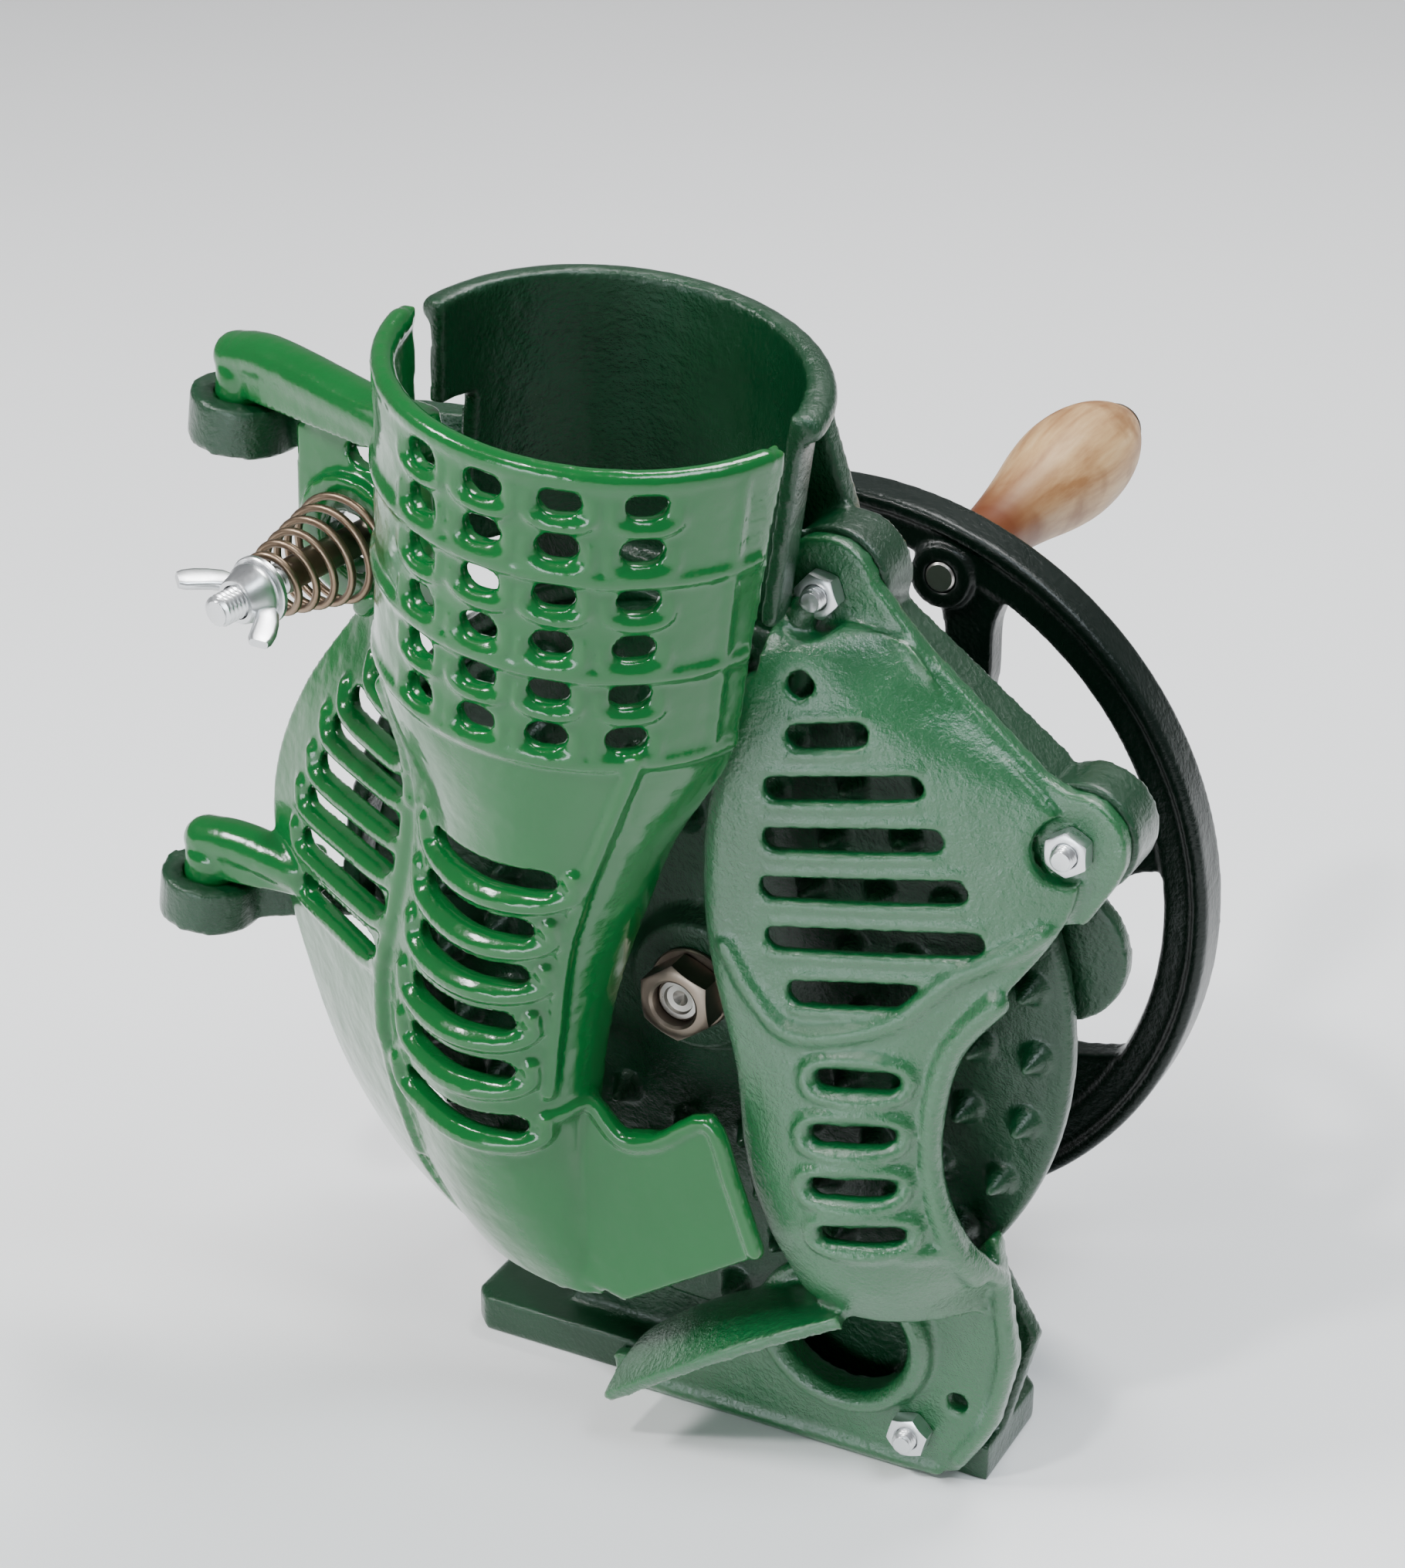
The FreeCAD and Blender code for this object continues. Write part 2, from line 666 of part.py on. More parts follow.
BAND_DISTANCES = (-25.8, -50.8, -74.4)
WINDOW_WIDTH = 9.5
WINDOW_HEIGHT = 6.5


def tube_windows():
    """Round-ended windows through the front half of the throat tube."""
    tools = []
    for distance in TUBE_ROWS:
        radius = throat_radius_at(distance)
        for angle in TUBE_COLUMNS:
            centre = throat_point(distance, angle, radius - 2)
            outward = (throat_point(distance, angle, radius) - centre).normalize()
            tool = stadium(V(0, 0, 0), WINDOW_WIDTH, WINDOW_HEIGHT, 14)
            yaw = math.degrees(math.atan2(outward.y, outward.x)) + 90
            tool.rotate(V(0, 0, 0), Z_AXIS, yaw)
            tool.translate(centre)
            tools.append(tool)
    return tools


def gate_slots():
    tools = []
    for height, left, right in LEFT_SLOTS:
        centre = V((left + right) / 2.0, LEFT_SLOT_Y, height)
        tools.append(stadium(centre, right - left, SLOT_HEIGHT, 60))
    for height, left, right in RIGHT_SLOTS:
        centre = V((left + right) / 2.0, RIGHT_SLOT_Y, height)
        tools.append(stadium(centre, right - left, SLOT_HEIGHT, 42))
    return tools


def gate_web():
    """Flat web between the tube and the upper hinge arm, with the spring seat."""
    across = V(-tension_dir.y, tension_dir.x, 0).normalize()
    outline = ((26, 30), (-18, 26), (-19, 2), (-14, -12), (0, -17), (16, -16), (28, -20))
    corners = [tension_web + across * a + Z_AXIS * b for a, b in outline]
    plate = Part.Face(Part.makePolygon(corners + corners[:1])).extrude(tension_dir * -5)
    seat = Part.makeCylinder(17, 8, tension_web + tension_dir * 2, tension_dir * -1)
    return [plate, seat]


def hinge_pins():
    pins = []
    for centre in hinge_centres:
        start = centre - hinge_axis * (sheet.hook_height / 2.0 - 1)
        pins.append(Part.makeCylinder(sheet.pin_radius, sheet.hook_height + 5, start, hinge_axis))
    return pins


def tube_rows():
    """Rows of points down the front half of the throat tube."""
    columns = len(SPOUT_SECTIONS[0][1]) - 1
    rows = []
    for distance, left, right in TUBE_SECTIONS:
        radius = throat_radius_at(distance)
        rows.append([throat_point(distance, left + (right - left) * i / columns, radius)
                     for i in range(columns + 1)])
    return rows


def gate_arms():
    """Bars from the hinge pins to the throat tube and to the louvred flank."""
    rise = hinge_axis * (sheet.hook_height / 2.0 + 6)
    ends = (V(-66, -47, hinge_top.z + rise.z + 1), V(-119, -24, hinge_bottom.z + rise.z + 1))
    return [bar_between(centre + rise, end, 11, 12) for centre, end in zip(hinge_centres, ends)]


def make_gate():
    spout = cast_shell(refine(tube_rows() + plan_rows(SPOUT_SECTIONS), 11, 20), GATE_WALL)
    flank = cast_shell(refine(plan_rows(FLANK_SECTIONS), 6, 12), GATE_WALL)
    rim = rim_roll(19, 171, -1.6, RIM_OFFSET, RIM_ROLL)
    bands = [rim_roll(18, 158, distance, BAND_OFFSET, BAND_RADIUS, domed=False)
             for distance in BAND_DISTANCES]
    lip = plate_from(LIP_OUTLINE, LIP_FRONT_Y, GATE_WALL)
    pieces = [spout, flank, rim] + bands + gate_arms() + [lip] + gate_web() + hinge_pins()
    spring_hole = Part.makeCylinder(8, 30, tension_web + tension_dir * 10, tension_dir * -1)
    web_window = stadium(tension_web + V(6, 0, 23), 14, 8, 24)
    return cast_in_one("gate", pieces, tube_windows() + gate_slots() + [spring_hole, web_window])


# ----------------------------------------------------------- front cover

COVER_WALL = 3.6
COVER_SECTIONS = (
    (231, ((21, -22), (27.5, -22), (34, -22), (40.5, -22), (47, -22))),
    (219, ((18, -37), (28, -35), (38, -32.5), (48, -28), (58, -22.2))),
    (204, ((14, -39), (29, -36.5), (45, -33.5), (61, -29), (77, -22.2))),
    (186, ((10, -39.5), (31, -37), (52, -33), (73, -28), (93, -22.2))),
    (170, ((9, -39.5), (30, -37), (51, -34), (72, -30), (92, -23.5))),
    (150, ((10.5, -39.5), (28, -38), (46, -36), (63, -33.5), (80, -30))),
    (134, ((14.5, -40), (28, -40), (43, -39), (57, -36), (70, -31))),
    (118, ((19, -41), (31, -42.5), (43, -42), (55, -38.5), (66, -32))),
    (100, ((21.5, -42), (33, -45), (45, -45), (56, -40.5), (66, -32))),
    (82, ((26.5, -42), (38, -45.5), (50, -45), (62, -39), (72, -30))),
    (68, ((32, -39), (42, -42.5), (54, -41), (66, -34), (77, -22))),
    (56, ((39, -33), (47, -36), (56, -34.5), (66, -28), (77, -20))),
)
RIM_RADIUS = 3.2
RIM_DEPTH = 11
RIM_WALL_START = V(-1.2, 0.9, 0)
PANEL_SLOTS = (  # left end (x, z) and right end (x, z)
    ((26.6, 208.5), (45.6, 211)), ((21.8, 195), (58.7, 199.5)), ((21.7, 182), (64.1, 187)),
    ((21.1, 169), (70.5, 175)), ((22.7, 156), (75.4, 162.5)), ((29, 143), (67, 148)),
)
NECK_SLOTS = ((48, 124), (48, 110), (49, 96.5), (52, 84))


LEG_OUTLINE = (
    (-28, 0), (-30, 8), (-6, 15), (8, 30), (22, 52), (40, 66), (66, 80), (78, 76),
    (81.5, 58), (84.5, 42), (80, 21), (70, 4), (56, 0),
)
FLANGE_OUTLINE = (
    (16, 230), (20, 246), (40, 243), (54, 228), (84, 203), (100, 196), (103, 180),
    (96, 168), (86, 166), (80, 184), (62, 204), (40, 217), (24, 219),
)
OPENING_X, OPENING_Z = 38, 38
OPENING_HALF_WIDTH, OPENING_HALF_HEIGHT = 18, 16.5
COLLAR_BAND = 6.5
COLLAR_RISE = 3
DISC_CLEARANCE_RADIUS = 95.5


def cover_rim():
    """Rounded bead down the panel's left edge with the side wall behind it."""
    edge = [row[0] for row in plan_rows(COVER_SECTIONS[1:])]
    path = smooth_edge(edge)
    ring = Part.Wire([Part.makeCircle(RIM_RADIUS, edge[0], path.tangentAt(path.FirstParameter))])
    bead = Part.Wire([path]).makePipeShell([ring], True, False)
    wall_rows = [[point + RIM_WALL_START + V(1.5 * step, RIM_DEPTH * step / 2.0, 0)
                  for step in (0, 1, 2)] for point in edge]
    wall = cast_shell(wall_rows, 3)
    return [bead, Part.makeSphere(RIM_RADIUS, edge[0]), Part.makeSphere(RIM_RADIUS, edge[-1]), wall]


def oval_tool(half_width, half_height, depth, centre):
    """Elliptic cylinder along Y that starts at a point."""
    ellipse = Part.Ellipse(V(0, 0, 0), half_width, half_height).toShape()
    tool = Part.Face(Part.Wire([ellipse])).extrude(V(0, 0, depth))
    tool.rotate(V(0, 0, 0), X_AXIS, -90)
    tool.translate(centre)
    return tool


def cover_leg():
    """Lower leg and foot of the cover with the collar of its oval opening."""
    leg = plate_from(LEG_OUTLINE, lug_front_y, sheet.cover_lug_thickness)
    collar = oval_tool(OPENING_HALF_WIDTH + COLLAR_BAND, OPENING_HALF_HEIGHT + COLLAR_BAND,
                       sheet.cover_lug_thickness + COLLAR_RISE,
                       V(OPENING_X, lug_front_y - COLLAR_RISE, OPENING_Z))
    disc_room = Part.makeCylinder(DISC_CLEARANCE_RADIUS, 20, shaft_point(lug_front_y - 6), Y_AXIS)
    return leg.fuse(collar).cut(disc_room)


def deflector():
    """Sloping tongue that turns the bare cob out towards the operator's left."""
    rows = [
        [V(-15, -27, 20), V(12, -27, 41), V(42, -27, 52)],
        [V(-16, -39, 18), V(13, -39, 39.5), V(45, -37, 53)],
        [V(-16, -50, 14), V(14, -50, 35.5), V(47, -45, 54)],
    ]
    return cast_shell(rows, 3.5)


def make_front_cover():
    panel = cast_shell(plan_rows(COVER_SECTIONS), COVER_WALL)
    lugs = [Part.makeCylinder(sheet.lug_radius - 1.0, sheet.cover_lug_thickness,
                              at_y(centre, lug_front_y), Y_AXIS) for centre in lug_centres]
    flange = plate_from(FLANGE_OUTLINE, lug_front_y, sheet.cover_lug_thickness)
    pieces = [panel, flange.fuse(lugs[:2]), cover_leg(), deflector()] + cover_rim() + lugs[2:]
    tools = [oval_tool(OPENING_HALF_WIDTH, OPENING_HALF_HEIGHT, 12,
                       V(OPENING_X, lug_front_y - COLLAR_RISE - 1, OPENING_Z))]
    for (left_x, left_z), (right_x, right_z) in PANEL_SLOTS:
        slope = math.degrees(math.atan2(right_z - left_z, right_x - left_x))
        centre = V((left_x + right_x) / 2.0, -30, (left_z + right_z) / 2.0)
        tools.append(stadium(centre, math.hypot(right_x - left_x, right_z - left_z), 6.5, 40, slope))
    for x, z in NECK_SLOTS:
        tools.append(stadium(V(x, -40, z), 20, 5, 30, 4))
    tools.append(Part.makeCylinder(3.3, 40, V(29, -45, 221), Y_AXIS))
    tools.append(Part.makeCylinder(2.8, 12, V(69, lug_front_y - 3, 25), Y_AXIS))
    for centre in lug_centres:
        tools.append(Part.makeCylinder(sheet.bolt_dia / 2.0 + 0.2, 30,
                                       at_y(centre, mating_y - 29), Y_AXIS))
        tools.append(Part.makeCylinder(8.5, 30, at_y(centre, lug_front_y), Y_AXIS * -1))
    return cast_in_one("front_cover", pieces, tools)


# -------------------------------------------------- disc, shaft and nuts

TOOTH_RINGS = ((89, 30), (74, 25), (59, 20), (44, 15))  # radius, count
TOOTH_TIP_RADIUS = 0.8
TOOTH_ROOT = 1.0
KEY_SEAT = 5.0
KEY_HEIGHT = 4.2
KEY_WIDTH = 4.2
KEY_LENGTH = 20


def make_disc():
    """Toothed disc; local +Z is the front, local origin at the back face."""
    bore = size("shaft_dia") / 2
    thickness = size("disc_thickness")
    rim = size("disc_radius")
    hub = size("disc_hub_radius")
    front = thickness + size("disc_hub_rise")
    body = revolved_body("shelling_disc", [
        (bore, fixed(0)), (rim - 1, fixed(0)), (rim, fixed(1)),
        (rim, thickness - 1), (rim - 1, thickness), (hub, thickness),
        (hub - 3, front), (bore, front),
    ], shaft_point(sheet.disc_front_y + sheet.disc_thickness), Y_AXIS * -1)
    z_axis = [f for f in body.Origin.OriginFeatures if f.Role == "Z_Axis"][0]
    for ring, (radius, count) in enumerate(TOOTH_RINGS):
        tooth = body.newObject("PartDesign::AdditiveCone", "tooth_%d" % ring)
        bind(tooth, "Radius1", size("tooth_base_dia") / 2)
        bind(tooth, "Radius2", TOOTH_TIP_RADIUS)
        bind(tooth, "Height", size("tooth_height") + TOOTH_ROOT)
        tooth.Placement = FreeCAD.Placement(V(radius, 0, sheet.disc_thickness - TOOTH_ROOT),
                                            FreeCAD.Rotation())
        doc.recompute()
        pattern = body.newObject("PartDesign::PolarPattern", "tooth_%d_pattern" % ring)
        pattern.Originals = [tooth]
        pattern.Axis = (z_axis, [""])
        pattern.Angle = 360
        pattern.Occurrences = count
        body.Tip = pattern
        doc.recompute()
    return body


def make_shaft():
    """Main shaft; local +Z runs from the front nut back to the flywheel nut."""
    zero = fixed(0)
    journal = size("shaft_dia") / 2
    thread = fixed(THREAD_RADIUS)
    shoulder = fixed(DISC_HUB_FRONT_Y + 0.2 - SHAFT_FRONT_Y)
    rear_shoulder = fixed(WHEEL_HUB_REAR_Y - 0.2 - SHAFT_FRONT_Y)
    end = fixed(WHEEL_HUB_REAR_Y + 12.5 - SHAFT_FRONT_Y)
    body = revolved_body("shaft_blank", [
        (zero, zero), (thread - 1, zero), (thread, fixed(1)), (thread, shoulder),
        (journal, shoulder), (journal, rear_shoulder), (thread, rear_shoulder),
        (thread, end - 1), (thread - 1, end), (zero, end),
    ], shaft_point(SHAFT_FRONT_Y), Y_AXIS)
    return label_node("main_shaft", cut("main_shaft", body, [key_box("shaft_keyway")]))


def key_box(name):
    """Rectangular key half in the shaft and half in the flywheel hub, with its rear end flush."""
    return box(name, KEY_HEIGHT, KEY_WIDTH, KEY_LENGTH,
               V(shaft_x + KEY_SEAT, WHEEL_HUB_REAR_Y - 0.5, shaft_z - KEY_WIDTH / 2.0),
               FreeCAD.Rotation(X_AXIS, 90))


def washer(name, outer, inner, thickness, position, direction):
    disc = cylinder(name + "_disc", outer, thickness, position, direction)
    hole = cylinder(name + "_hole", inner, thickness, position, direction)
    return cut(name, disc, [hole])


def bush(name, front_y):
    """Plain bearing sleeve pressed into one end of the boss."""
    outer = cylinder(name + "_outer", size("bush_radius"), size("bush_length"),
                     shaft_point(front_y), Y_AXIS)
    inner = cylinder(name + "_inner", size("shaft_dia") / 2 + 0.05, size("bush_length"),
                     shaft_point(front_y), Y_AXIS)
    return label_node(name, cut(name, outer, [inner]))


# -------------------------------------------------------------- flywheel

def spoke_outline(radius_inner, radius_outer):
    """Curved spoke: (radius, bearing offset in degrees, half width) down its centre line."""
    stations = ((radius_inner, 22, 10.0), (38, 18, 8.0), (56, 13, 7.5),
                (74, 7, 7.5), (86, 1.5, 9.5), (radius_outer, -1, 14.0))
    left = []
    right = []
    for radius, bearing_deg, half_width in stations:
        bearing = math.radians(bearing_deg)
        half_angle = half_width / radius
        left.append(V(radius * math.cos(bearing + half_angle), radius * math.sin(bearing + half_angle), 0))
        right.append(V(radius * math.cos(bearing - half_angle), radius * math.sin(bearing - half_angle), 0))
    return Part.Wire([
        smooth_edge(left),
        Part.LineSegment(left[-1], right[-1]).toShape(),
        smooth_edge(right[::-1]),
        Part.LineSegment(right[0], left[0]).toShape(),
    ])


def make_flywheel():
    """Flywheel with a channelled rim, curved spokes and the crank boss."""
    outer = sheet.wheel_radius
    inner = outer - sheet.rim_depth
    width = sheet.wheel_width
    front = sheet.wheel_front_y
    groove = 2.2
    lip = 3.6
    profile = [V(inner + 1, 0, 1.5), V(outer - lip - 1, 0, groove), V(outer - lip, 0, 0),
               V(outer - 1, 0, 0), V(outer, 0, 1), V(outer, 0, width - 1), V(outer - 1, 0, width),
               V(outer - lip, 0, width), V(outer - lip - 1, 0, width - groove),
               V(inner + 1, 0, width - 1.5), V(inner, 0, width / 2.0)]
    rim_face = Part.Face(Part.makePolygon(profile + profile[:1]))
    rim = rim_face.revolve(V(0, 0, 0), Z_AXIS, 360)
    thickness = sheet.spoke_thickness
    spokes = []
    spoke_face = Part.Face(spoke_outline(sheet.wheel_hub_radius - 4, inner + 2))
    for i in range(int(sheet.spoke_count)):
        spoke = spoke_face.extrude(V(0, 0, thickness))
        spoke.translate(V(0, 0, (width - thickness) / 2.0))
        spoke.rotate(V(0, 0, 0), Z_AXIS, SPOKE_BEARING + 360.0 * i / sheet.spoke_count)
        spokes.append(spoke)
    hub_front = -6
    hub = Part.makeCylinder(sheet.wheel_hub_radius, width + 10, V(0, 0, hub_front))
    crank_local = V(sheet.crank_radius * math.cos(-crank_angle),
                    sheet.crank_radius * math.sin(-crank_angle), 0)
    boss = Part.makeCylinder(8.5, width, crank_local)
    wheel = rim.fuse(spokes + [hub, boss])
    bore = Part.makeCylinder(sheet.shaft_dia / 2.0, width + 30, V(0, 0, hub_front - 5))
    keyway = Part.makeBox(KEY_HEIGHT, KEY_WIDTH, width + 30, V(KEY_SEAT, -KEY_WIDTH / 2.0, hub_front - 5))
    spindle_bore = Part.makeCylinder(sheet.spindle_dia / 2.0 + 0.1, width + 10, crank_local - Z_AXIS * 5)
    feature = shape_feature("flywheel", wheel.cut([bore, keyway, spindle_bore]).removeSplitter())
    feature.Placement = FreeCAD.Placement(V(shaft_x, front, shaft_z), FreeCAD.Rotation(X_AXIS, -90))
    return label_node("flywheel", feature)


# ------------------------------------------------------- crank and handle

GRIP_FRONT_Y = sheet.wheel_front_y + sheet.wheel_width + 4
GRIP_REAR_Y = GRIP_FRONT_Y + sheet.grip_length
GRIP_BORE = 4.1


def make_grip():
    """Turned pear-shaped handle; (distance, radius) down its length."""
    length = sheet.grip_length
    stations = ((0, 10.5), (0.06, 11), (0.16, 10.2), (0.30, 10.4), (0.48, 13),
                (0.66, 15), (0.82, 14.2), (0.93, 10.8), (1.0, 7.5))
    outline = [V(radius, 0, length * share) for share, radius in stations]
    edge = smooth_edge(outline)
    corners = [V(GRIP_BORE, 0, length), V(GRIP_BORE, 0, 0)]
    wire = Part.Wire([
        edge,
        Part.LineSegment(outline[-1], corners[0]).toShape(),
        Part.LineSegment(corners[0], corners[1]).toShape(),
        Part.LineSegment(corners[1], outline[0]).toShape(),
    ])
    grip = Part.Face(wire).revolve(V(0, 0, 0), Z_AXIS, 360)
    feature = shape_feature("grip", grip)
    feature.Placement = place(V(crank_x, GRIP_FRONT_Y, crank_z), Y_AXIS)
    return label_node("grip", feature)


def make_spindle():
    """Crank bolt: flat head in front of the rim, shank through the grip, riveted end."""
    wheel_front = sheet.wheel_front_y
    zero = fixed(0)
    shank = size("spindle_dia") / 2
    length = GRIP_REAR_Y + 3.2 - wheel_front
    return revolved_body("crank_spindle", [
        (zero, zero), (shank, zero), (shank, fixed(length)),
        (zero, fixed(length)),
    ], V(crank_x, wheel_front, crank_z), Y_AXIS)


# ------------------------------------------------------- tension fittings

def tension_point(distance):
    """Point on the tension bolt's axis, measured forward from the gate's web."""
    return tension_web + tension_dir * distance


SPRING_SEAT = 2.3
SPRING_WASHER = 1.6
TENSION_BACK = -33


def make_tension_bolt():
    length = sheet.tension_length - TENSION_BACK
    rod = cylinder("tension_rod", size("tension_bolt_dia") / 2, length, tension_point(TENSION_BACK),
                   tension_dir)
    head = add("Part::Prism", "tension_head")
    head.Polygon = 6
    bind(head, "Circumradius", fixed(7.5))
    bind(head, "Height", fixed(5))
    head.Placement = place(tension_point(TENSION_BACK), tension_dir)
    return label_node("tension_bolt", fuse("tension_bolt", [rod, head]))


def make_spring():
    """Conical compression spring from the gate's seat to the small washer."""
    wire_radius = sheet.spring_wire_dia / 2.0
    length = sheet.spring_length - sheet.spring_wire_dia - 0.4
    big = sheet.spring_big_radius
    small = sheet.spring_small_radius
    turns = 6
    steps = 12 * turns
    helix = []
    for i in range(steps + 1):
        share = i / float(steps)
        angle = 2 * math.pi * turns * share
        radius = big + (small - big) * share
        helix.append(V(radius * math.cos(angle), radius * math.sin(angle), length * share))
    path = smooth_edge(helix)
    circle = Part.Wire([Part.makeCircle(wire_radius, helix[0], path.tangentAt(path.FirstParameter))])
    wire = Part.Wire([path]).makePipeShell([circle], True, True)
    feature = shape_feature("tension_spring", wire)
    feature.Placement = place(tension_point(SPRING_SEAT + wire_radius + 0.2), tension_dir)
    return label_node("tension_spring", feature)


def make_wing_nut():
    """Wing nut: round boss with two flared wings, bored for the tension bolt."""
    start = tension_point(SPRING_SEAT + sheet.spring_length + SPRING_WASHER)
    boss = cone("wing_boss", 7.5, 6, 7.5, start, tension_dir)
    wings = []
    for i, sign in enumerate((-1, 1)):
        outline = [V(2, -1.5, 1), V(7, -1.5, 1), V(11, -1.5, 6), V(14.5, -1.5, 12.5), V(11, -1.5, 14.5),
                   V(7, -1.5, 10), V(4, -1.5, 7.5)]
        wing = Part.Face(Part.makePolygon(outline + outline[:1])).extrude(V(0, 3, 0))
        feature = shape_feature("wing_%d" % i, wing)
        quarter_turn = FreeCAD.Rotation(Z_AXIS, 90 + 90 * sign + WING_TURN)
        feature.Placement = place(start, tension_dir) * FreeCAD.Placement(V(0, 0, 0), quarter_turn)
        wings.append(feature)
    bore = cylinder("wing_bore", size("tension_bolt_dia") / 2 + 0.05, 30,
                    start - tension_dir * 5, tension_dir)
    return label_node("wing_nut", cut("wing_nut", fuse("wing_blank", [boss] + wings), [bore]))


# ------------------------------------------------------------- assembly

def make_fasteners():
    """Cover bolts with their nuts and washers, one group node of each kind."""
    bolt_radius = size("bolt_dia") / 2
    flats = sheet.bolt_nut_flats
    nut_height = size("bolt_nut_height")
    bolts = []
    washers = []
    for i, centre in enumerate(lug_centres):
        rear_y = lug_rear_y(i)
        front_y = lug_front_y - sheet.bolt_nut_height - 3
        rod = cylinder("cover_bolt_rod_%d" % i, bolt_radius, rear_y + 0.5 - front_y,
                       at_y(centre, front_y), Y_AXIS)
        head = add("Part::Prism", "cover_bolt_head_%d" % i)
        head.Polygon = 6
        bind(head, "Circumradius", size("bolt_nut_flats") / math.sqrt(3))
        bind(head, "Height", fixed(4))
        head.Placement = place(at_y(centre, rear_y + 1.2), Y_AXIS)
        shank = cylinder("cover_bolt_shank_%d" % i, bolt_radius, 2, at_y(centre, rear_y), Y_AXIS)
        bolts.append(fuse("cover_bolt_%d" % i, [rod, shank, head]))
        washers.append(washer("cover_washer_%d" % i, 6.2, bolt_radius + 0.2, 1.2,
                              at_y(centre, rear_y), Y_AXIS))
    nuts = hex_nut("cover", flats, nut_height, number(bolt_radius),
                   [at_y(centre, lug_front_y) for centre in lug_centres], Y_AXIS * -1)
    return [group_node("cover_bolts", bolts), group_node("cover_nuts", nuts),
            group_node("cover_washers", washers)]


def single_nut(name, flats, height, bore_radius, position, direction):
    return label_node(name, hex_nut(name + "_raw", flats, height, bore_radius,
                                    [position], direction)[0])


def make_nodes():
    nodes = [make_frame(), make_gate(), make_front_cover(), make_disc(), make_shaft()]
    nodes += [bush("bearing_bush_front", PLATE_Y + 0.5),
              bush("bearing_bush_rear", sheet.boss_rear_y - sheet.bush_length)]
    nut_back_y = DISC_HUB_FRONT_Y - SHAFT_WASHER
    nodes.append(label_node("shaft_washer", washer("shaft_washer", 11, 6.2, SHAFT_WASHER,
                                                   shaft_point(DISC_HUB_FRONT_Y), Y_AXIS * -1)))
    nodes.append(single_nut("shaft_nut", sheet.shaft_nut_flats, size("shaft_nut_height"), 6.0,
                            shaft_point(nut_back_y), Y_AXIS * -1))
    nodes.append(make_flywheel())
    nodes.append(label_node("shaft_collar", washer("shaft_collar", 12, 7.0,
                                                   WHEEL_HUB_FRONT_Y - sheet.boss_rear_y - 0.3,
                                                   shaft_point(sheet.boss_rear_y + 0.3), Y_AXIS)))
    nodes.append(label_node("flywheel_key", key_box("flywheel_key")))
    nodes.append(label_node("flywheel_washer", washer("flywheel_washer", 11, 6.2, 1.5,
                                                      shaft_point(WHEEL_HUB_REAR_Y), Y_AXIS)))
    nodes.append(single_nut("flywheel_nut", sheet.shaft_nut_flats, size("shaft_nut_height"), 6.0,
                            shaft_point(WHEEL_HUB_REAR_Y + 1.5), Y_AXIS))
    nodes += [make_spindle(), make_grip()]
    spindle = V(crank_x, 0, crank_z)
    rim_rear_y = sheet.wheel_front_y + sheet.wheel_width
    nodes.append(single_nut("spindle_nut", 13.0, fixed(3.5), sheet.spindle_dia / 2.0,
                            at_y(spindle, rim_rear_y), Y_AXIS))
    cap = cone("grip_end_cap_dome", 7.4, 5.6, 2.9, at_y(spindle, GRIP_REAR_Y + 0.3), Y_AXIS)
    cap_hole = cylinder("grip_end_cap_hole", size("spindle_dia") / 2, 2.9,
                        at_y(spindle, GRIP_REAR_Y + 0.3), Y_AXIS)
    nodes.append(label_node("grip_end_cap", cut("grip_end_cap", cap, [cap_hole])))
    nodes += [make_tension_bolt(), make_spring(), make_wing_nut()]
    nodes.append(single_nut("tension_lock_nut", 13.0, fixed(5), sheet.tension_bolt_dia / 2.0,
                            tension_point(-17), tension_dir))
    nodes.append(label_node("spring_washer", washer("spring_washer", 8.5, 4.08, SPRING_WASHER,
                                                    tension_point(SPRING_SEAT + sheet.spring_length),
                                                    tension_dir)))
    nodes += make_fasteners()
    return nodes


def check_and_write(nodes):
    doc.recompute()
    for feature in doc.Objects:
        if "Invalid" in feature.State or "Error" in feature.State:
            raise RuntimeError("%s failed: %s" % (feature.Name, feature.State))
    os.makedirs("parts", exist_ok=True)
    for node in nodes:
        shape = node.Shape
        if shape.isNull() or not shape.isValid():
            raise RuntimeError("%s has no valid shape" % node.Label)
        print("%-20s solids %2d volume %9.0f" % (node.Label, len(shape.Solids), shape.Volume))
        shape.exportStep(os.path.join("parts", node.Label + ".step"))


check_and_write(make_nodes())
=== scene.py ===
import math

import bpy
from mathutils import Matrix, Vector
from mathutils.bvhtree import BVHTree


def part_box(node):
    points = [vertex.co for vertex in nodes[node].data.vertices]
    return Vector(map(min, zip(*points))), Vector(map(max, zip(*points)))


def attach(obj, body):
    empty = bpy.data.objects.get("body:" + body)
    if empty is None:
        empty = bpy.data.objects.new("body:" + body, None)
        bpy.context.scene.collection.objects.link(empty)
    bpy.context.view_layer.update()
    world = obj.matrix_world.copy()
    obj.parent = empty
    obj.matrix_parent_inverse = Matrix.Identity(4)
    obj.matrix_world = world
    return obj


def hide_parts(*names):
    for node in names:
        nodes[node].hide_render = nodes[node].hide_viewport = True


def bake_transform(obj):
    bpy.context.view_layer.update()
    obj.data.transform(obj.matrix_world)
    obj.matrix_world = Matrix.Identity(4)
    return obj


# A hand-cranked cast-iron corn sheller: enamelled castings with raised lips
# round their slots, a toothed disc, a flywheel with a turned wooden grip, and
# zinc-plated fasteners.  Blender works in metres; the sizes written here are
# millimetres and pass through MM or mm().

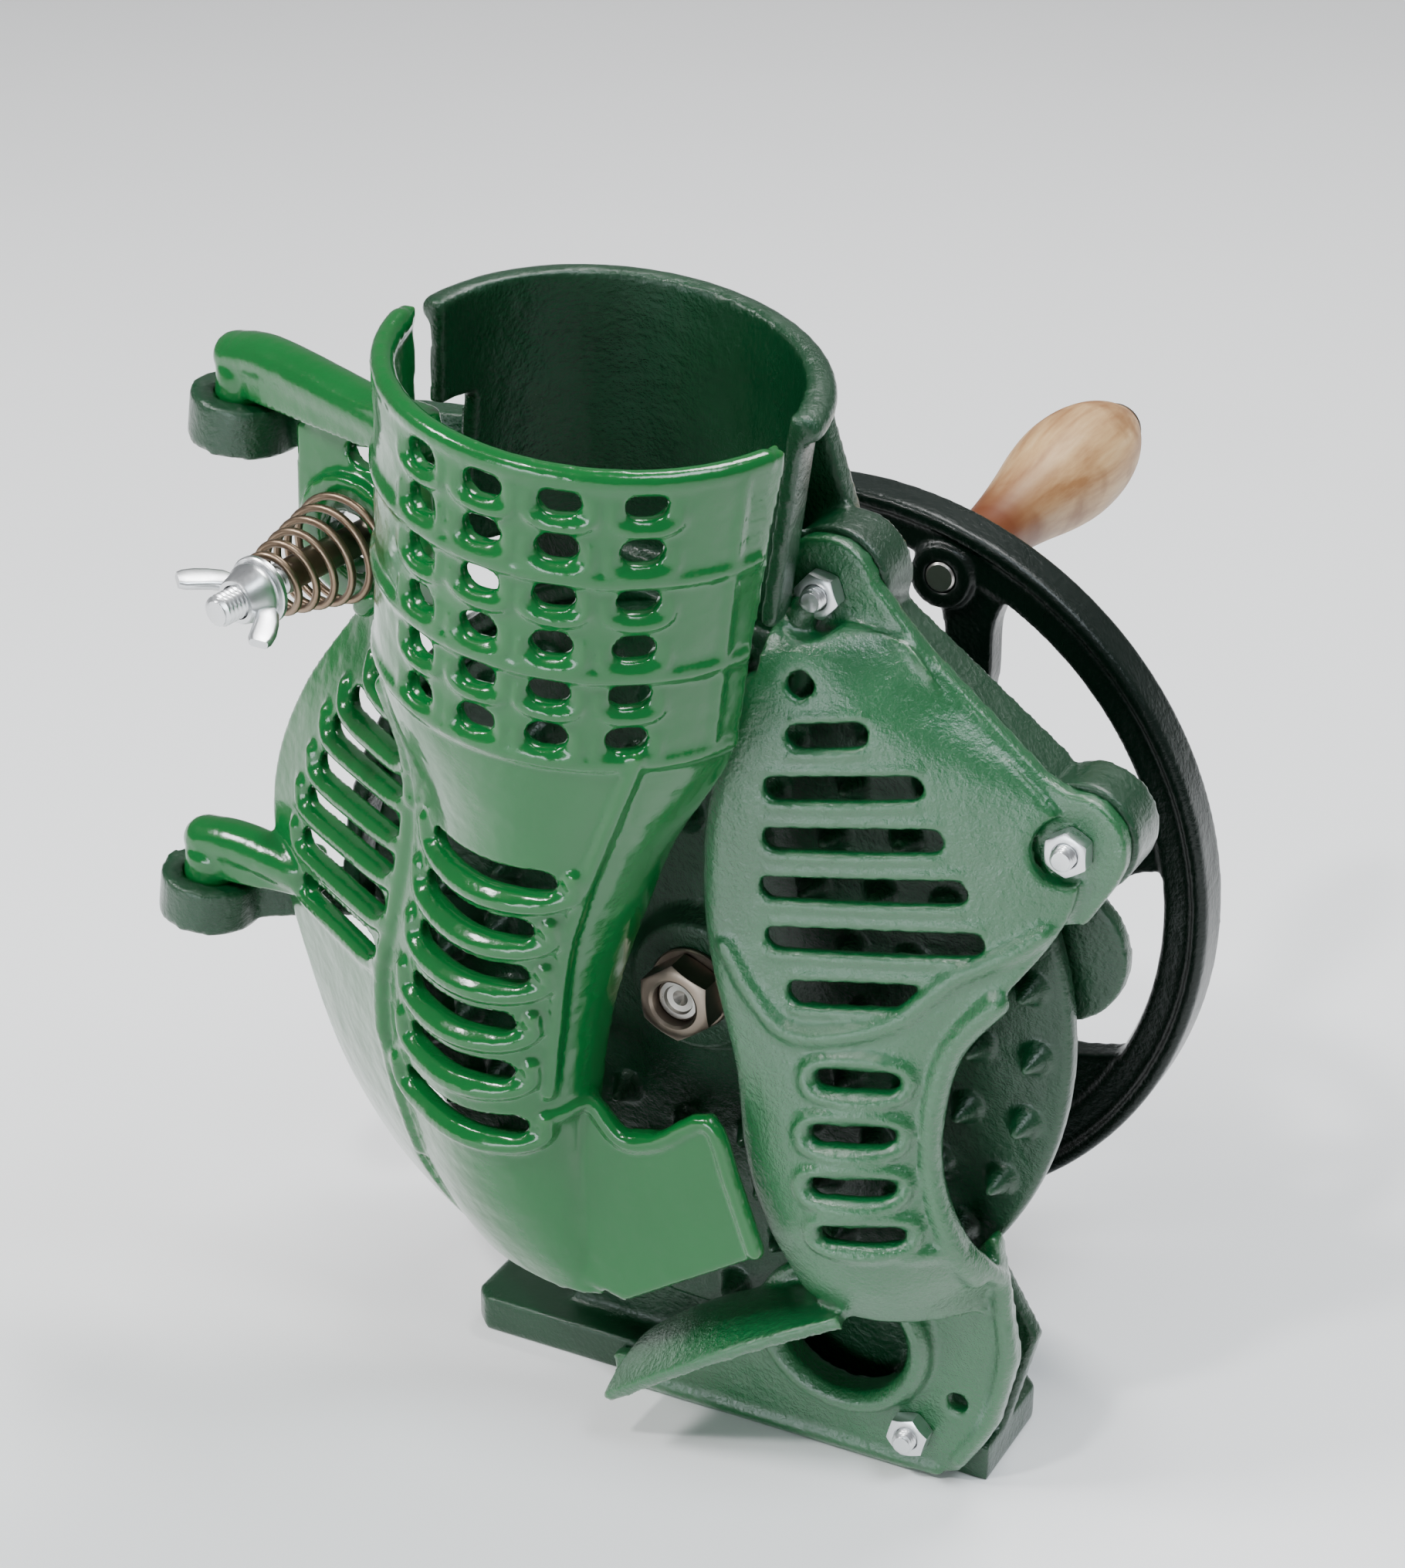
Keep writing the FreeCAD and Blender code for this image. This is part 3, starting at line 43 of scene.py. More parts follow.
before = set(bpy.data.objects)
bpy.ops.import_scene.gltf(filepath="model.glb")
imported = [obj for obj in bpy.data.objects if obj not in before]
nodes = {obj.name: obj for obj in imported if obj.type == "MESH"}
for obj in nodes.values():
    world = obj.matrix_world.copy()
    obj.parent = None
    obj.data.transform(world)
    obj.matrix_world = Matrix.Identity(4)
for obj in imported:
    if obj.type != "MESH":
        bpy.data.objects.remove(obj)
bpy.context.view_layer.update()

MM = 0.001


def mm(*values):
    return Vector(values) * MM


# ------------------------------------------------------------ materials

def node_material(name):
    material = bpy.data.materials.new(name)
    material.use_nodes = True
    tree = material.node_tree
    shader = tree.nodes["Principled BSDF"]
    return material, tree, shader


def add_noise(tree, coords, scale, detail=3.0, roughness=0.5, stretch=None):
    texture = tree.nodes.new("ShaderNodeTexNoise")
    texture.inputs["Scale"].default_value = scale
    texture.inputs["Detail"].default_value = detail
    texture.inputs["Roughness"].default_value = roughness
    source = coords
    if stretch:
        mapping = tree.nodes.new("ShaderNodeMapping")
        mapping.inputs["Scale"].default_value = stretch
        tree.links.new(coords, mapping.inputs["Vector"])
        source = mapping.outputs["Vector"]
    tree.links.new(source, texture.inputs["Vector"])
    return texture.outputs["Fac"]


def ramp(tree, factor, stops):
    node = tree.nodes.new("ShaderNodeValToRGB")
    elements = node.color_ramp.elements
    while len(elements) < len(stops):
        elements.new(0.5)
    for element, (position, color) in zip(elements, stops):
        element.position = position
        element.color = (*color, 1.0)
    tree.links.new(factor, node.inputs["Fac"])
    return node.outputs["Color"]


def mix_color(tree, factor, first, second):
    node = tree.nodes.new("ShaderNodeMix")
    node.data_type = "RGBA"
    for socket, value in ((node.inputs[0], factor), (node.inputs[6], first), (node.inputs[7], second)):
        if isinstance(value, bpy.types.NodeSocket):
            tree.links.new(value, socket)
        elif isinstance(value, tuple):
            socket.default_value = (*value, 1.0)
        else:
            socket.default_value = value
    return node.outputs[2]


def bump(tree, height, strength, distance, previous=None):
    node = tree.nodes.new("ShaderNodeBump")
    node.inputs["Strength"].default_value = strength
    node.inputs["Distance"].default_value = distance
    tree.links.new(height, node.inputs["Height"])
    if previous:
        tree.links.new(previous, node.inputs["Normal"])
    return node.outputs["Normal"]


def scalar_ramp(tree, factor, low, high):
    node = tree.nodes.new("ShaderNodeMapRange")
    node.inputs["To Min"].default_value = low
    node.inputs["To Max"].default_value = high
    tree.links.new(factor, node.inputs["Value"])
    return node.outputs["Result"]


MOTTLE_SCALE = 34.0
GRAIN_SCALE = 780.0
WAVE_SCALE = 95.0
GLOSS_SCALE = 60.0
WORN_EDGE = [(0.46, (0, 0, 0)), (0.53, (0.05, 0.05, 0.05)), (0.60, (0.45, 0.45, 0.45))]


def enamel(name, color, shade, worn, grain_mm, waviness_mm, roughness,
           coat=0.55, coat_roughness=0.05, specular=0.3, speckle=0.25):
    """Glossy brushed enamel over sand-cast iron: thin and pale on edges, mottled and gently wavy."""
    material, tree, shader = node_material(name)
    coords = tree.nodes.new("ShaderNodeTexCoord").outputs["Object"]
    geometry = tree.nodes.new("ShaderNodeNewGeometry")
    mottled = mix_color(tree, add_noise(tree, coords, MOTTLE_SCALE, 4.0), color, shade)
    edge = ramp(tree, geometry.outputs["Pointiness"], WORN_EDGE)
    tree.links.new(mix_color(tree, edge, mottled, worn), shader.inputs["Base Color"])
    grain_height = add_noise(tree, coords, GRAIN_SCALE, 5.0, 0.62)
    wave_height = add_noise(tree, coords, WAVE_SCALE, 2.0)
    grain = grain_mm * MM
    waviness = waviness_mm * MM
    normal = bump(tree, wave_height, 0.5, waviness)
    normal = bump(tree, grain_height, 0.6, grain, normal)
    tree.links.new(normal, shader.inputs["Normal"])
    gloss = scalar_ramp(tree, add_noise(tree, coords, GLOSS_SCALE, 3.0), roughness * 0.75, roughness * 1.5)
    tree.links.new(gloss, shader.inputs["Roughness"])
    shader.inputs["Specular IOR Level"].default_value = specular
    shader.inputs["Coat Weight"].default_value = coat
    shader.inputs["Coat Roughness"].default_value = coat_roughness
    coat_normal = bump(tree, grain_height, speckle, grain, bump(tree, wave_height, 0.5, waviness))
    tree.links.new(coat_normal, shader.inputs["Coat Normal"])
    return material


def metal(name, color, stain, roughness, scratch_scale, stretch, relief_mm=0.04):
    """Bare or plated metal with cloudy stains and fine scratches stretched along one axis."""
    material, tree, shader = node_material(name)
    coords = tree.nodes.new("ShaderNodeTexCoord").outputs["Object"]
    cloudy = add_noise(tree, coords, 120.0, 4.0)
    tree.links.new(mix_color(tree, cloudy, color, stain), shader.inputs["Base Color"])
    shader.inputs["Metallic"].default_value = 1.0
    fine = add_noise(tree, coords, scratch_scale, 3.0, 0.6, stretch)
    tree.links.new(scalar_ramp(tree, fine, roughness * 0.7, roughness * 1.4), shader.inputs["Roughness"])
    tree.links.new(bump(tree, fine, 0.25, relief_mm * MM), shader.inputs["Normal"])
    return material


PALE_WOOD = [(0.3, (0.30, 0.14, 0.05)), (0.52, (0.50, 0.30, 0.135)), (0.75, (0.64, 0.44, 0.235))]
HANDLED_WOOD = (0.22, 0.085, 0.022)
NECK_WOOD = (0.13, 0.032, 0.005)
NECK_TINT_MM = (14, 48)  # fades out between these distances from the grip's front
SOILED_PATCHES = [(0.46, (0, 0, 0)), (0.60, (0.9, 0.9, 0.9))]


def wood(name, front):
    """Worn turned hardwood, darker and oranger at the neck beside the wheel."""
    material, tree, shader = node_material(name)
    coords = tree.nodes.new("ShaderNodeTexCoord").outputs["Object"]
    grain = add_noise(tree, coords, scale=210.0, detail=5.0, roughness=0.6, stretch=(1.0, 0.09, 1.0))
    pale = ramp(tree, grain, PALE_WOOD)
    patches = add_noise(tree, coords, scale=38.0, detail=4.0)
    soiled = ramp(tree, patches, SOILED_PATCHES)
    body = mix_color(tree, soiled, pale, HANDLED_WOOD)
    separate = tree.nodes.new("ShaderNodeSeparateXYZ")
    tree.links.new(coords, separate.inputs[0])
    along = tree.nodes.new("ShaderNodeMapRange")
    along.inputs["From Min"].default_value = front + NECK_TINT_MM[0] * MM
    along.inputs["From Max"].default_value = front + NECK_TINT_MM[1] * MM
    along.inputs["To Min"].default_value = 1.0
    along.inputs["To Max"].default_value = 0.0
    tree.links.new(separate.outputs["Y"], along.inputs["Value"])
    tinted = mix_color(tree, along.outputs["Result"], body, NECK_WOOD)
    tree.links.new(tinted, shader.inputs["Base Color"])
    tree.links.new(scalar_ramp(tree, patches, 0.32, 0.6), shader.inputs["Roughness"])
    tree.links.new(bump(tree, grain, 0.35, 0.3 * MM), shader.inputs["Normal"])
    return material


green_enamel = enamel(
    "green_enamel", color=(0.0010, 0.080, 0.014), shade=(0.0022, 0.112, 0.022), worn=(0.06, 0.20, 0.04),
    grain_mm=0.12, waviness_mm=1.2, roughness=0.16)
panel_enamel = enamel(
    "panel_enamel", color=(0.0010, 0.072, 0.017), shade=(0.0022, 0.098, 0.026), worn=(0.05, 0.17, 0.045),
    grain_mm=0.7, waviness_mm=1.4, roughness=0.2, coat=0.9, specular=0.5, speckle=0.4)
dark_enamel = enamel(
    "dark_enamel", color=(0.0005, 0.024, 0.007), shade=(0.0012, 0.044, 0.013), worn=(0.02, 0.075, 0.03),
    grain_mm=0.9, waviness_mm=1.6, roughness=0.22, coat=0.45, coat_roughness=0.06)
wheel_enamel = enamel(
    "wheel_enamel", color=(0.0004, 0.0040, 0.0020), shade=(0.0008, 0.007, 0.0036),
    worn=(0.008, 0.016, 0.010), grain_mm=0.5, waviness_mm=1.0, roughness=0.22, coat=0.2,
    coat_roughness=0.08, specular=0.22)
zinc = metal(
    "zinc", color=(0.80, 0.81, 0.82), stain=(0.66, 0.67, 0.68),
    roughness=0.3, scratch_scale=420.0, stretch=(1.0, 1.0, 0.2), relief_mm=0.01)
black_steel = metal(
    "black_steel", color=(0.28, 0.24, 0.20), stain=(0.16, 0.12, 0.09),
    roughness=0.34, scratch_scale=700.0, stretch=(1.0, 0.3, 1.0))
turned_steel = metal(
    "turned_steel", color=(0.55, 0.54, 0.52), stain=(0.40, 0.37, 0.33),
    roughness=0.3, scratch_scale=800.0, stretch=(1.0, 0.1, 1.0))
spring_wire = metal(
    "spring_wire", color=(0.33, 0.25, 0.18), stain=(0.17, 0.11, 0.07),
    roughness=0.36, scratch_scale=900.0, stretch=(1.0, 1.0, 1.0))
bush_iron = metal(
    "bush_iron", color=(0.24, 0.23, 0.22), stain=(0.15, 0.14, 0.13),
    roughness=0.4, scratch_scale=700.0, stretch=(1.0, 0.2, 1.0))
turned_wood = wood("turned_wood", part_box("grip")[0].y)


# ------------------------------------------------------- mesh building

def smooth_path(points, steps):
    """Catmull-Rom curve through points."""
    points = [Vector(p) for p in points]
    padded = [points[0] * 2 - points[1]] + points + [points[-1] * 2 - points[-2]]
    path = []
    for i in range(1, len(padded) - 2):
        a, b, c, d = padded[i - 1:i + 3]
        for k in range(steps):
            t = k / steps
            path.append(0.5 * (2 * b + (c - a) * t + (2 * a - 5 * b + 4 * c - d) * t * t
                               + (3 * b - a - 3 * c + d) * t ** 3))
    path.append(points[-1])
    return path


class Solid:
    """Collects vertices and faces of closed pieces."""

    def __init__(self):
        self.verts = []
        self.faces = []

    def grid(self, rings, close_ends=True):
        """Joins equal closed rings of points into a tube."""
        start = len(self.verts)
        count = len(rings[0])
        for ring in rings:
            self.verts.extend(ring)
        for i in range(len(rings) - 1):
            for j in range(count):
                a = start + i * count + j
                b = start + i * count + (j + 1) % count
                self.faces.append((a, b, b + count, a + count))
        if close_ends:
            self.faces.append(tuple(start + j for j in reversed(range(count))))
            last = start + (len(rings) - 1) * count
            self.faces.append(tuple(last + j for j in range(count)))

    def tube(self, path, radius, sides=10):
        """Round bar with domed ends along a path; radius may be one value or one per point."""
        path = [Vector(p) for p in path]
        radii = radius if isinstance(radius, (list, tuple)) else [radius] * len(path)
        normal = None
        rings = []
        for i, point in enumerate(path):
            ahead = path[min(i + 1, len(path) - 1)]
            behind = path[max(i - 1, 0)]
            tangent = (ahead - behind).normalized()
            if normal is None:
                normal = tangent.orthogonal().normalized()
            normal = (normal - tangent * normal.dot(tangent)).normalized()
            side = tangent.cross(normal)
            circle = []
            for k in range(sides):
                angle = 2 * math.pi * k / sides
                circle.append(normal * math.cos(angle) + side * math.sin(angle))
            rings.append((point, tangent, radii[i], circle))
        dome_steps = 3
        dome = [math.pi / 2 * (1 - (k + 0.35) / dome_steps) for k in range(dome_steps)]
        layers = [(rings[0], -math.sin(angle), math.cos(angle)) for angle in dome]
        layers += [(ring, 0.0, 1.0) for ring in rings]
        layers += [(rings[-1], math.sin(angle), math.cos(angle)) for angle in reversed(dome)]
        self.grid([[point + tangent * (reach * r) + c * (r * scale) for c in circle]
                   for (point, tangent, r, circle), reach, scale in layers])

    def revolve(self, profile, origin, axis, sides=64):
        """Closed solid of revolution; profile is (distance along the axis, radius)."""
        axis = Vector(axis).normalized()
        normal = axis.orthogonal().normalized()
        side = axis.cross(normal)
        rings = []
        for distance, radius in profile:
            ring = []
            for k in range(sides):
                angle = 2 * math.pi * k / sides
                ring.append(Vector(origin) + axis * distance
                            + (normal * math.cos(angle) + side * math.sin(angle)) * radius)
            rings.append(ring)
        self.grid(rings, close_ends=profile[0] != profile[-1])

    def copy_node(self, name):
        """Adds a CAD node's own surface."""
        mesh = nodes[name].data
        start = len(self.verts)
        self.verts.extend(v.co.copy() for v in mesh.vertices)
        self.faces.extend(tuple(start + v for v in polygon.vertices) for polygon in mesh.polygons)

    def object(self, name):
        mesh = bpy.data.meshes.new(name)
        mesh.from_pydata([tuple(v) for v in self.verts], [], self.faces)
        mesh.validate()
        mesh.update()
        result = bpy.data.objects.new(name, mesh)
        bpy.context.scene.collection.objects.link(result)
        return result


def bake_modifiers(thing):
    """Turns a piece's modifiers into plain mesh."""
    bpy.context.view_layer.update()
    graph = bpy.context.evaluated_depsgraph_get()
    mesh = bpy.data.meshes.new_from_object(thing.evaluated_get(graph))
    thing.modifiers.clear()
    thing.data = mesh


def add_modifier(thing, kind, **settings):
    modifier = thing.modifiers.new(kind.lower(), kind)
    for key, value in settings.items():
        setattr(modifier, key, value)
    return modifier


def coat_piece(thing, material):
    thing.data.materials.clear()
    thing.data.materials.append(material)
    thing.data.polygons.foreach_set("use_smooth", [True] * len(thing.data.polygons))


def finish_piece(thing, body, material, replaced):
    """Paints a piece, rides it on its body and lets it stand for CAD nodes."""
    coat_piece(thing, material)
    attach(thing, body)
    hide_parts(*replaced)


def casting(solid, name, voxel, rounding):
    """Fuses overlapping solids into one skin and rounds its edges as a casting's are."""
    thing = solid.object(name)
    add_modifier(thing, "REMESH", mode="VOXEL", voxel_size=voxel, adaptivity=0.0)
    bake_modifiers(thing)
    add_modifier(thing, "SMOOTH", factor=0.5, iterations=rounding)
    bake_modifiers(thing)
    return thing


def node_bvh(name):
    mesh = nodes[name].data
    return BVHTree.FromPolygons([v.co for v in mesh.vertices],
                                [tuple(p.vertices) for p in mesh.polygons])


# ---------------------------------------------------------- throat tube

SHAFT = mm(-6, 0, 126)
THROAT_TOP = mm(-13, -50, 296)
THROAT_AXIS = Vector((math.tan(math.radians(8.1)), -math.tan(math.radians(6)), 1)).normalized()
THROAT_SIDE = Vector((0, 1, 0)).cross(THROAT_AXIS).normalized()
THROAT_BACK = THROAT_AXIS.cross(THROAT_SIDE)
THROAT_RADIUS = 52.0
THROAT_LENGTH = 72.0
THROAT_TAPER = 2.5


def throat_point(distance_mm, angle_deg, offset_mm):
    """Point by the throat tube's outer skin.

    Distance runs along the axis from the top (negative is down), the angle from +X
    towards -Y, and the offset outwards.
    """
    taper = THROAT_TAPER * distance_mm / THROAT_LENGTH
    radius = (THROAT_RADIUS + taper) * MM + offset_mm * MM
    angle = math.radians(angle_deg)
    return (THROAT_TOP + THROAT_AXIS * (distance_mm * MM) + THROAT_SIDE * (radius * math.cos(angle))
            - THROAT_BACK * (radius * math.sin(angle)))


def throat_arc(distance_mm, start_deg, end_deg, offset_mm, count=28):
    return [throat_point(distance_mm, start_deg + (end_deg - start_deg) * i / count, offset_mm)
            for i in range(count + 1)]


# -------------------------------------------------- beads along a skin

FRONT = Vector((0, -1, 0))
REAR = Vector((0, 1, 0))
AHEAD_OF_ALL = -150.0  # the y that rays towards a casting's front start from
LARGEST_STEP = 9.0  # a jump in y above this means that a ray went through a slot


def on_front(skin, x_mm, z_mm, sink_mm):
    """First point of a skin met by a ray from the front, sunk a little into it."""
    hit = skin.ray_cast(mm(x_mm, AHEAD_OF_ALL, z_mm), REAR)
    if hit[0] is None:
        return None
    return hit[0] + REAR * (sink_mm * MM)


def trace(skin, pairs, sink_mm, steps=4):
    """Follows a skin through (x, z) pairs, skipping gaps such as slots."""
    path = []
    for point in smooth_path([(x, 0.0, z) for x, z in pairs], steps):
        found = on_front(skin, point.x, point.z, sink_mm)
        if found is not None and (not path or abs(found.y - path[-1].y) < LARGEST_STEP * MM):
            path.append(found)
    return path


def bead(solid, skin, pairs, sink_mm, radius_mm, steps=4):
    """Raised bead along a skin through (x, z) pairs."""
    solid.tube(trace(skin, pairs, sink_mm, steps), radius_mm * MM)


# ----------------------------------------------------------------- gate

CASTING_VOXEL = 0.9

# Slots are (height, left x, right x), windows and bands are distances and angles on the
# throat tube, and outlines on the castings are (x, z).
LEFT_SLOTS = ((203, -84, -69), (192.5, -94, -65), (183, -101, -65), (171, -106, -68),
              (160, -111, -71), (147.5, -113.5, -74), (133.5, -115, -79))
RIGHT_SLOTS = ((179.5, -50, -12), (165, -55, -19), (150.5, -57.5, -22.7),
               (135, -61, -28), (119.5, -63.5, -30.5), (101.5, -70, -30))
WINDOW_COLUMNS = (112, 92, 72, 51)
WINDOW_ROWS = (-8, -19.5, -32, -44.5, -57, -69)
WINDOW_HALF_WIDTH = 6.6
WINDOW_RADIUS = 47.0
WINDOW_LIP_RADIUS = 1.5
BAND_DISTANCES = (-25.8, -50.8, -74.4)
BAND_RADIUS = 2.5
RIM_DISTANCE = -2.4
RIM_RADIUS = 2.8
RIB_ANGLE = 26.5
RIB_BOTTOM, RIB_TOP = -72.0, -3.0
RIB_RADIUS = 1.9

GATE_BORDER = ((-84, 222), (-97, 209), (-110, 192), (-120, 168), (-124, 144), (-119.5, 118),
               (-111.5, 92), (-100, 68), (-84, 51))
GATE_SPINE = ((-64, 214), (-63, 190), (-65.5, 169), (-68, 157), (-71.5, 143), (-76, 128), (-78, 104),
              (-74, 72))
GATE_RIGHT_RIB = ((9, 216), (2, 199), (-7, 178), (-15, 156), (-21, 132), (-25, 112))
LIP_ROLL = ((-24, 104), (-19, 105), (-10.5, 96.5), (0, 99), (13.5, 108), (20, 93), (26.5, 75))
ARM_CROWNS = (((-131, -23.5, 271), (-118, -28, 273), (-94, -37, 271.5), (-64, -48, 268.5)),
              ((-150, -23.5, 134.5), (-138, -24.5, 135.5), (-120, -26, 133.5)))
ARM_CROWN_RADIUS = 6.4


def left_slot_lip(height, left, right):
    """Raised lip below a louvre slot of the flank."""
    return [(left - 3.0, height + 1.5), (left - 2.0, height - 4.0), (left + 4.0, height - 5.6),
            ((left + right) / 2, height - 5.8), (right - 3.0, height - 5.4), (right + 2.5, height - 2.0)]


def right_slot_lip(height, left, right):
    """Raised lip below a louvre slot of the spout, turned up at both ends."""
    return [(left - 3.5, height + 2.0), (left - 2.5, height - 4.0), (left + 4.0, height - 6.4),
            ((left + right) / 2, height - 6.8), (right - 4.0, height - 6.2),
            (right + 3.0, height - 3.4), (right + 3.8, height + 2.0)]


def window_lip(distance, angle):
    """U-shaped lip round the lower half of a window in the throat tube."""
    half = math.degrees(WINDOW_HALF_WIDTH / WINDOW_RADIUS)
    corner = half * 0.6
    outline = ((1.0, half, -0.9), (-2.8, half, -0.5), (-4.7, corner, -0.2), (-5.1, 0, 0.0),
               (-4.7, -corner, 0.0), (-2.8, -half, -0.2), (2.0, -half, -0.8))
    return smooth_path([throat_point(distance + drop, angle + turn, offset)
                        for drop, turn, offset in outline], 4)


def throat_rib(steps=20):
    """Straight rib down the throat tube beside its right edge."""
    rise = RIB_TOP - RIB_BOTTOM
    return [throat_point(RIB_BOTTOM + rise * i / steps, RIB_ANGLE, -0.7) for i in range(steps + 1)]


gate_skin = node_bvh("gate")
gate = Solid()
gate.copy_node("gate")
for slot in LEFT_SLOTS:
    bead(gate, gate_skin, left_slot_lip(*slot), sink_mm=0.3, radius_mm=2.3)
for slot in RIGHT_SLOTS:
    bead(gate, gate_skin, right_slot_lip(*slot), sink_mm=0.1, radius_mm=2.6)
for row in WINDOW_ROWS:
    for column in WINDOW_COLUMNS:
        gate.tube(window_lip(row, column), WINDOW_LIP_RADIUS * MM)
for distance in BAND_DISTANCES:
    gate.tube(throat_arc(distance, start_deg=20, end_deg=166, offset_mm=-1.0), BAND_RADIUS * MM)
gate.tube(throat_arc(RIM_DISTANCE, start_deg=19, end_deg=172, offset_mm=-2.1), RIM_RADIUS * MM)
bead(gate, gate_skin, GATE_BORDER, sink_mm=0.5, radius_mm=3.2)
bead(gate, gate_skin, GATE_SPINE, sink_mm=0.6, radius_mm=2.6)
gate.tube(throat_rib(), RIB_RADIUS * MM)
bead(gate, gate_skin, GATE_RIGHT_RIB, sink_mm=0.6, radius_mm=2.4)
bead(gate, gate_skin, LIP_ROLL, sink_mm=0.8, radius_mm=2.4)
for crown in ARM_CROWNS:
    gate.tube(smooth_path([mm(*point) for point in crown], steps=5), ARM_CROWN_RADIUS * MM, sides=14)
gate_piece = casting(gate, "gate_casting", CASTING_VOXEL * MM, rounding=4)
finish_piece(gate_piece, "gate", green_enamel, ["gate"])


# ---------------------------------------------------------- front cover

PANEL_SLOTS = (  # left end (x, z) and right end (x, z)
    ((26.6, 208.5), (45.6, 211)), ((21.8, 195), (58.7, 199.5)), ((21.7, 182), (64.1, 187)),
    ((21.1, 169), (70.5, 175)), ((22.7, 156), (75.4, 162.5)), ((29, 143), (67, 148)))
NECK_SLOTS = ((48, 124), (48, 110), (49, 96.5), (52, 84))

COVER_RIM = ((24.5, 235), (20, 222), (14.5, 205), (10.8, 190), (9.5, 170), (11.5, 150), (15.5, 134),
             (20, 118), (22.5, 100), (27.5, 82), (33, 68), (40, 58))
PANEL_FOOT = ((13, 152), (20, 141), (30, 133), (44, 135), (58, 142), (68, 153), (82, 162), (88, 167))
NECK_RIM = ((82, 152), (71, 138), (66.5, 126), (65, 110), (66, 98), (70, 84), (75.5, 70))
LEG_BEAD = ((62, 79), (73, 78), (78.5, 68), (80, 56), (81.5, 42), (77.5, 22), (70, 8))
STRIP_BEAD = ((-27, 3), (-10, 3), (15, 3), (40, 3), (64, 3))
LEG_COLLAR_CENTRE = (38, -25.6, 38)
LEG_COLLAR_RADII = (21.5, 20)
LEG_COLLAR_ROLL = 2.6


def panel_slot_edge(left, right, side):
    """Edge above (side 1) or below (side -1) a slot of the panel."""
    (left_x, left_z), (right_x, right_z) = left, right
    middle = ((left_x + right_x) / 2, (left_z + right_z) / 2 + side * 4.6)
    return [(left_x + 1.5, left_z + side * 4.4), middle, (right_x - 1.5, right_z + side * 4.4)]


def neck_slot_edge(x, z, side):
    """Half of the rounded lip round a slot of the neck."""
    return [(x - 12.5, z - 0.9), (x - 11, z + side * 3.4 - 0.8), (x - 6, z + side * 5.0 - 0.4),
            (x, z + side * 5.4), (x + 6, z + side * 5.0 + 0.4), (x + 11, z + side * 3.4 + 0.8),
            (x + 12.5, z + 0.9)]


def leg_collar():
    """Roll round the leg's opening, carried all the way round, past where the deflector joins it."""
    x, y, z = LEG_COLLAR_CENTRE
    width, height = LEG_COLLAR_RADII
    angles = [i * math.pi / 20 for i in range(-26, 15)]
    return [mm(x + width * math.cos(angle), y, z + height * math.sin(angle)) for angle in angles]


cover_skin = node_bvh("front_cover")
cover = Solid()
cover.copy_node("front_cover")
bead(cover, cover_skin, COVER_RIM, sink_mm=-3.4, radius_mm=4.2, steps=6)
bead(cover, cover_skin, PANEL_FOOT, sink_mm=0.9, radius_mm=2.8)
bead(cover, cover_skin, NECK_RIM, sink_mm=0.4, radius_mm=3.4)
bead(cover, cover_skin, LEG_BEAD, sink_mm=1.0, radius_mm=2.6)
bead(cover, cover_skin, STRIP_BEAD, sink_mm=1.0, radius_mm=2.2)
for left, right in PANEL_SLOTS:
    for side in (-1, 1):
        bead(cover, cover_skin, panel_slot_edge(left, right, side), sink_mm=1.1, radius_mm=1.7)
for x, z in NECK_SLOTS:
    for side in (-1, 1):
        bead(cover, cover_skin, neck_slot_edge(x, z, side), sink_mm=0.3, radius_mm=1.9)
cover.tube(leg_collar(), LEG_COLLAR_ROLL * MM)
cover_piece = casting(cover, "cover_casting", CASTING_VOXEL * MM, rounding=4)
finish_piece(cover_piece, "stand", panel_enamel, ["front_cover"])


# ---------------------------------------------------------------- frame

FRAME_VOXEL = 1.1
REAR_RIM_DISTANCE = -3.6
REAR_RIM_RADIUS = 3.2

back = Solid()
back.copy_node("frame")
back.tube(throat_arc(REAR_RIM_DISTANCE, start_deg=186, end_deg=354, offset_mm=-3.5),
          REAR_RIM_RADIUS * MM)
frame_piece = casting(back, "frame_casting", FRAME_VOXEL * MM, rounding=4)
finish_piece(frame_piece, "stand", dark_enamel, ["frame"])


# --------------------------------------------------- disc and flywheel

def plain_casting(node, name, material, rounding):
    """Rotor casting that is the CAD surface with its edges rounded."""
    surface = Solid()
    surface.copy_node(node)
    piece = casting(surface, name, CASTING_VOXEL * MM, rounding)
    finish_piece(piece, "rotor", material, [node])


plain_casting("shelling_disc", "disc_casting", dark_enamel, rounding=2)
plain_casting("flywheel", "flywheel_casting", wheel_enamel, rounding=3)


# ------------------------------------------- nuts, threads, turned work

NEAR_AXIS = 0.02


def frame_of(axis):
    axis = Vector(axis).normalized()
    side = Vector((0, 0, 1)).cross(axis)
    side = side.normalized() if side.length > 0.1 else axis.orthogonal().normalized()
    return axis, side, axis.cross(side)


def ring_at(origin, axes, distance, radius_at, count):
    axis, side, up = axes
    ring = []
    for k in range(count):
        angle = 2 * math.pi * k / count
        radius, lift = radius_at(angle)
        ring.append(Vector(origin) + axis * (distance + lift)
                    + (side * math.cos(angle) + up * math.sin(angle)) * radius)
    return ring


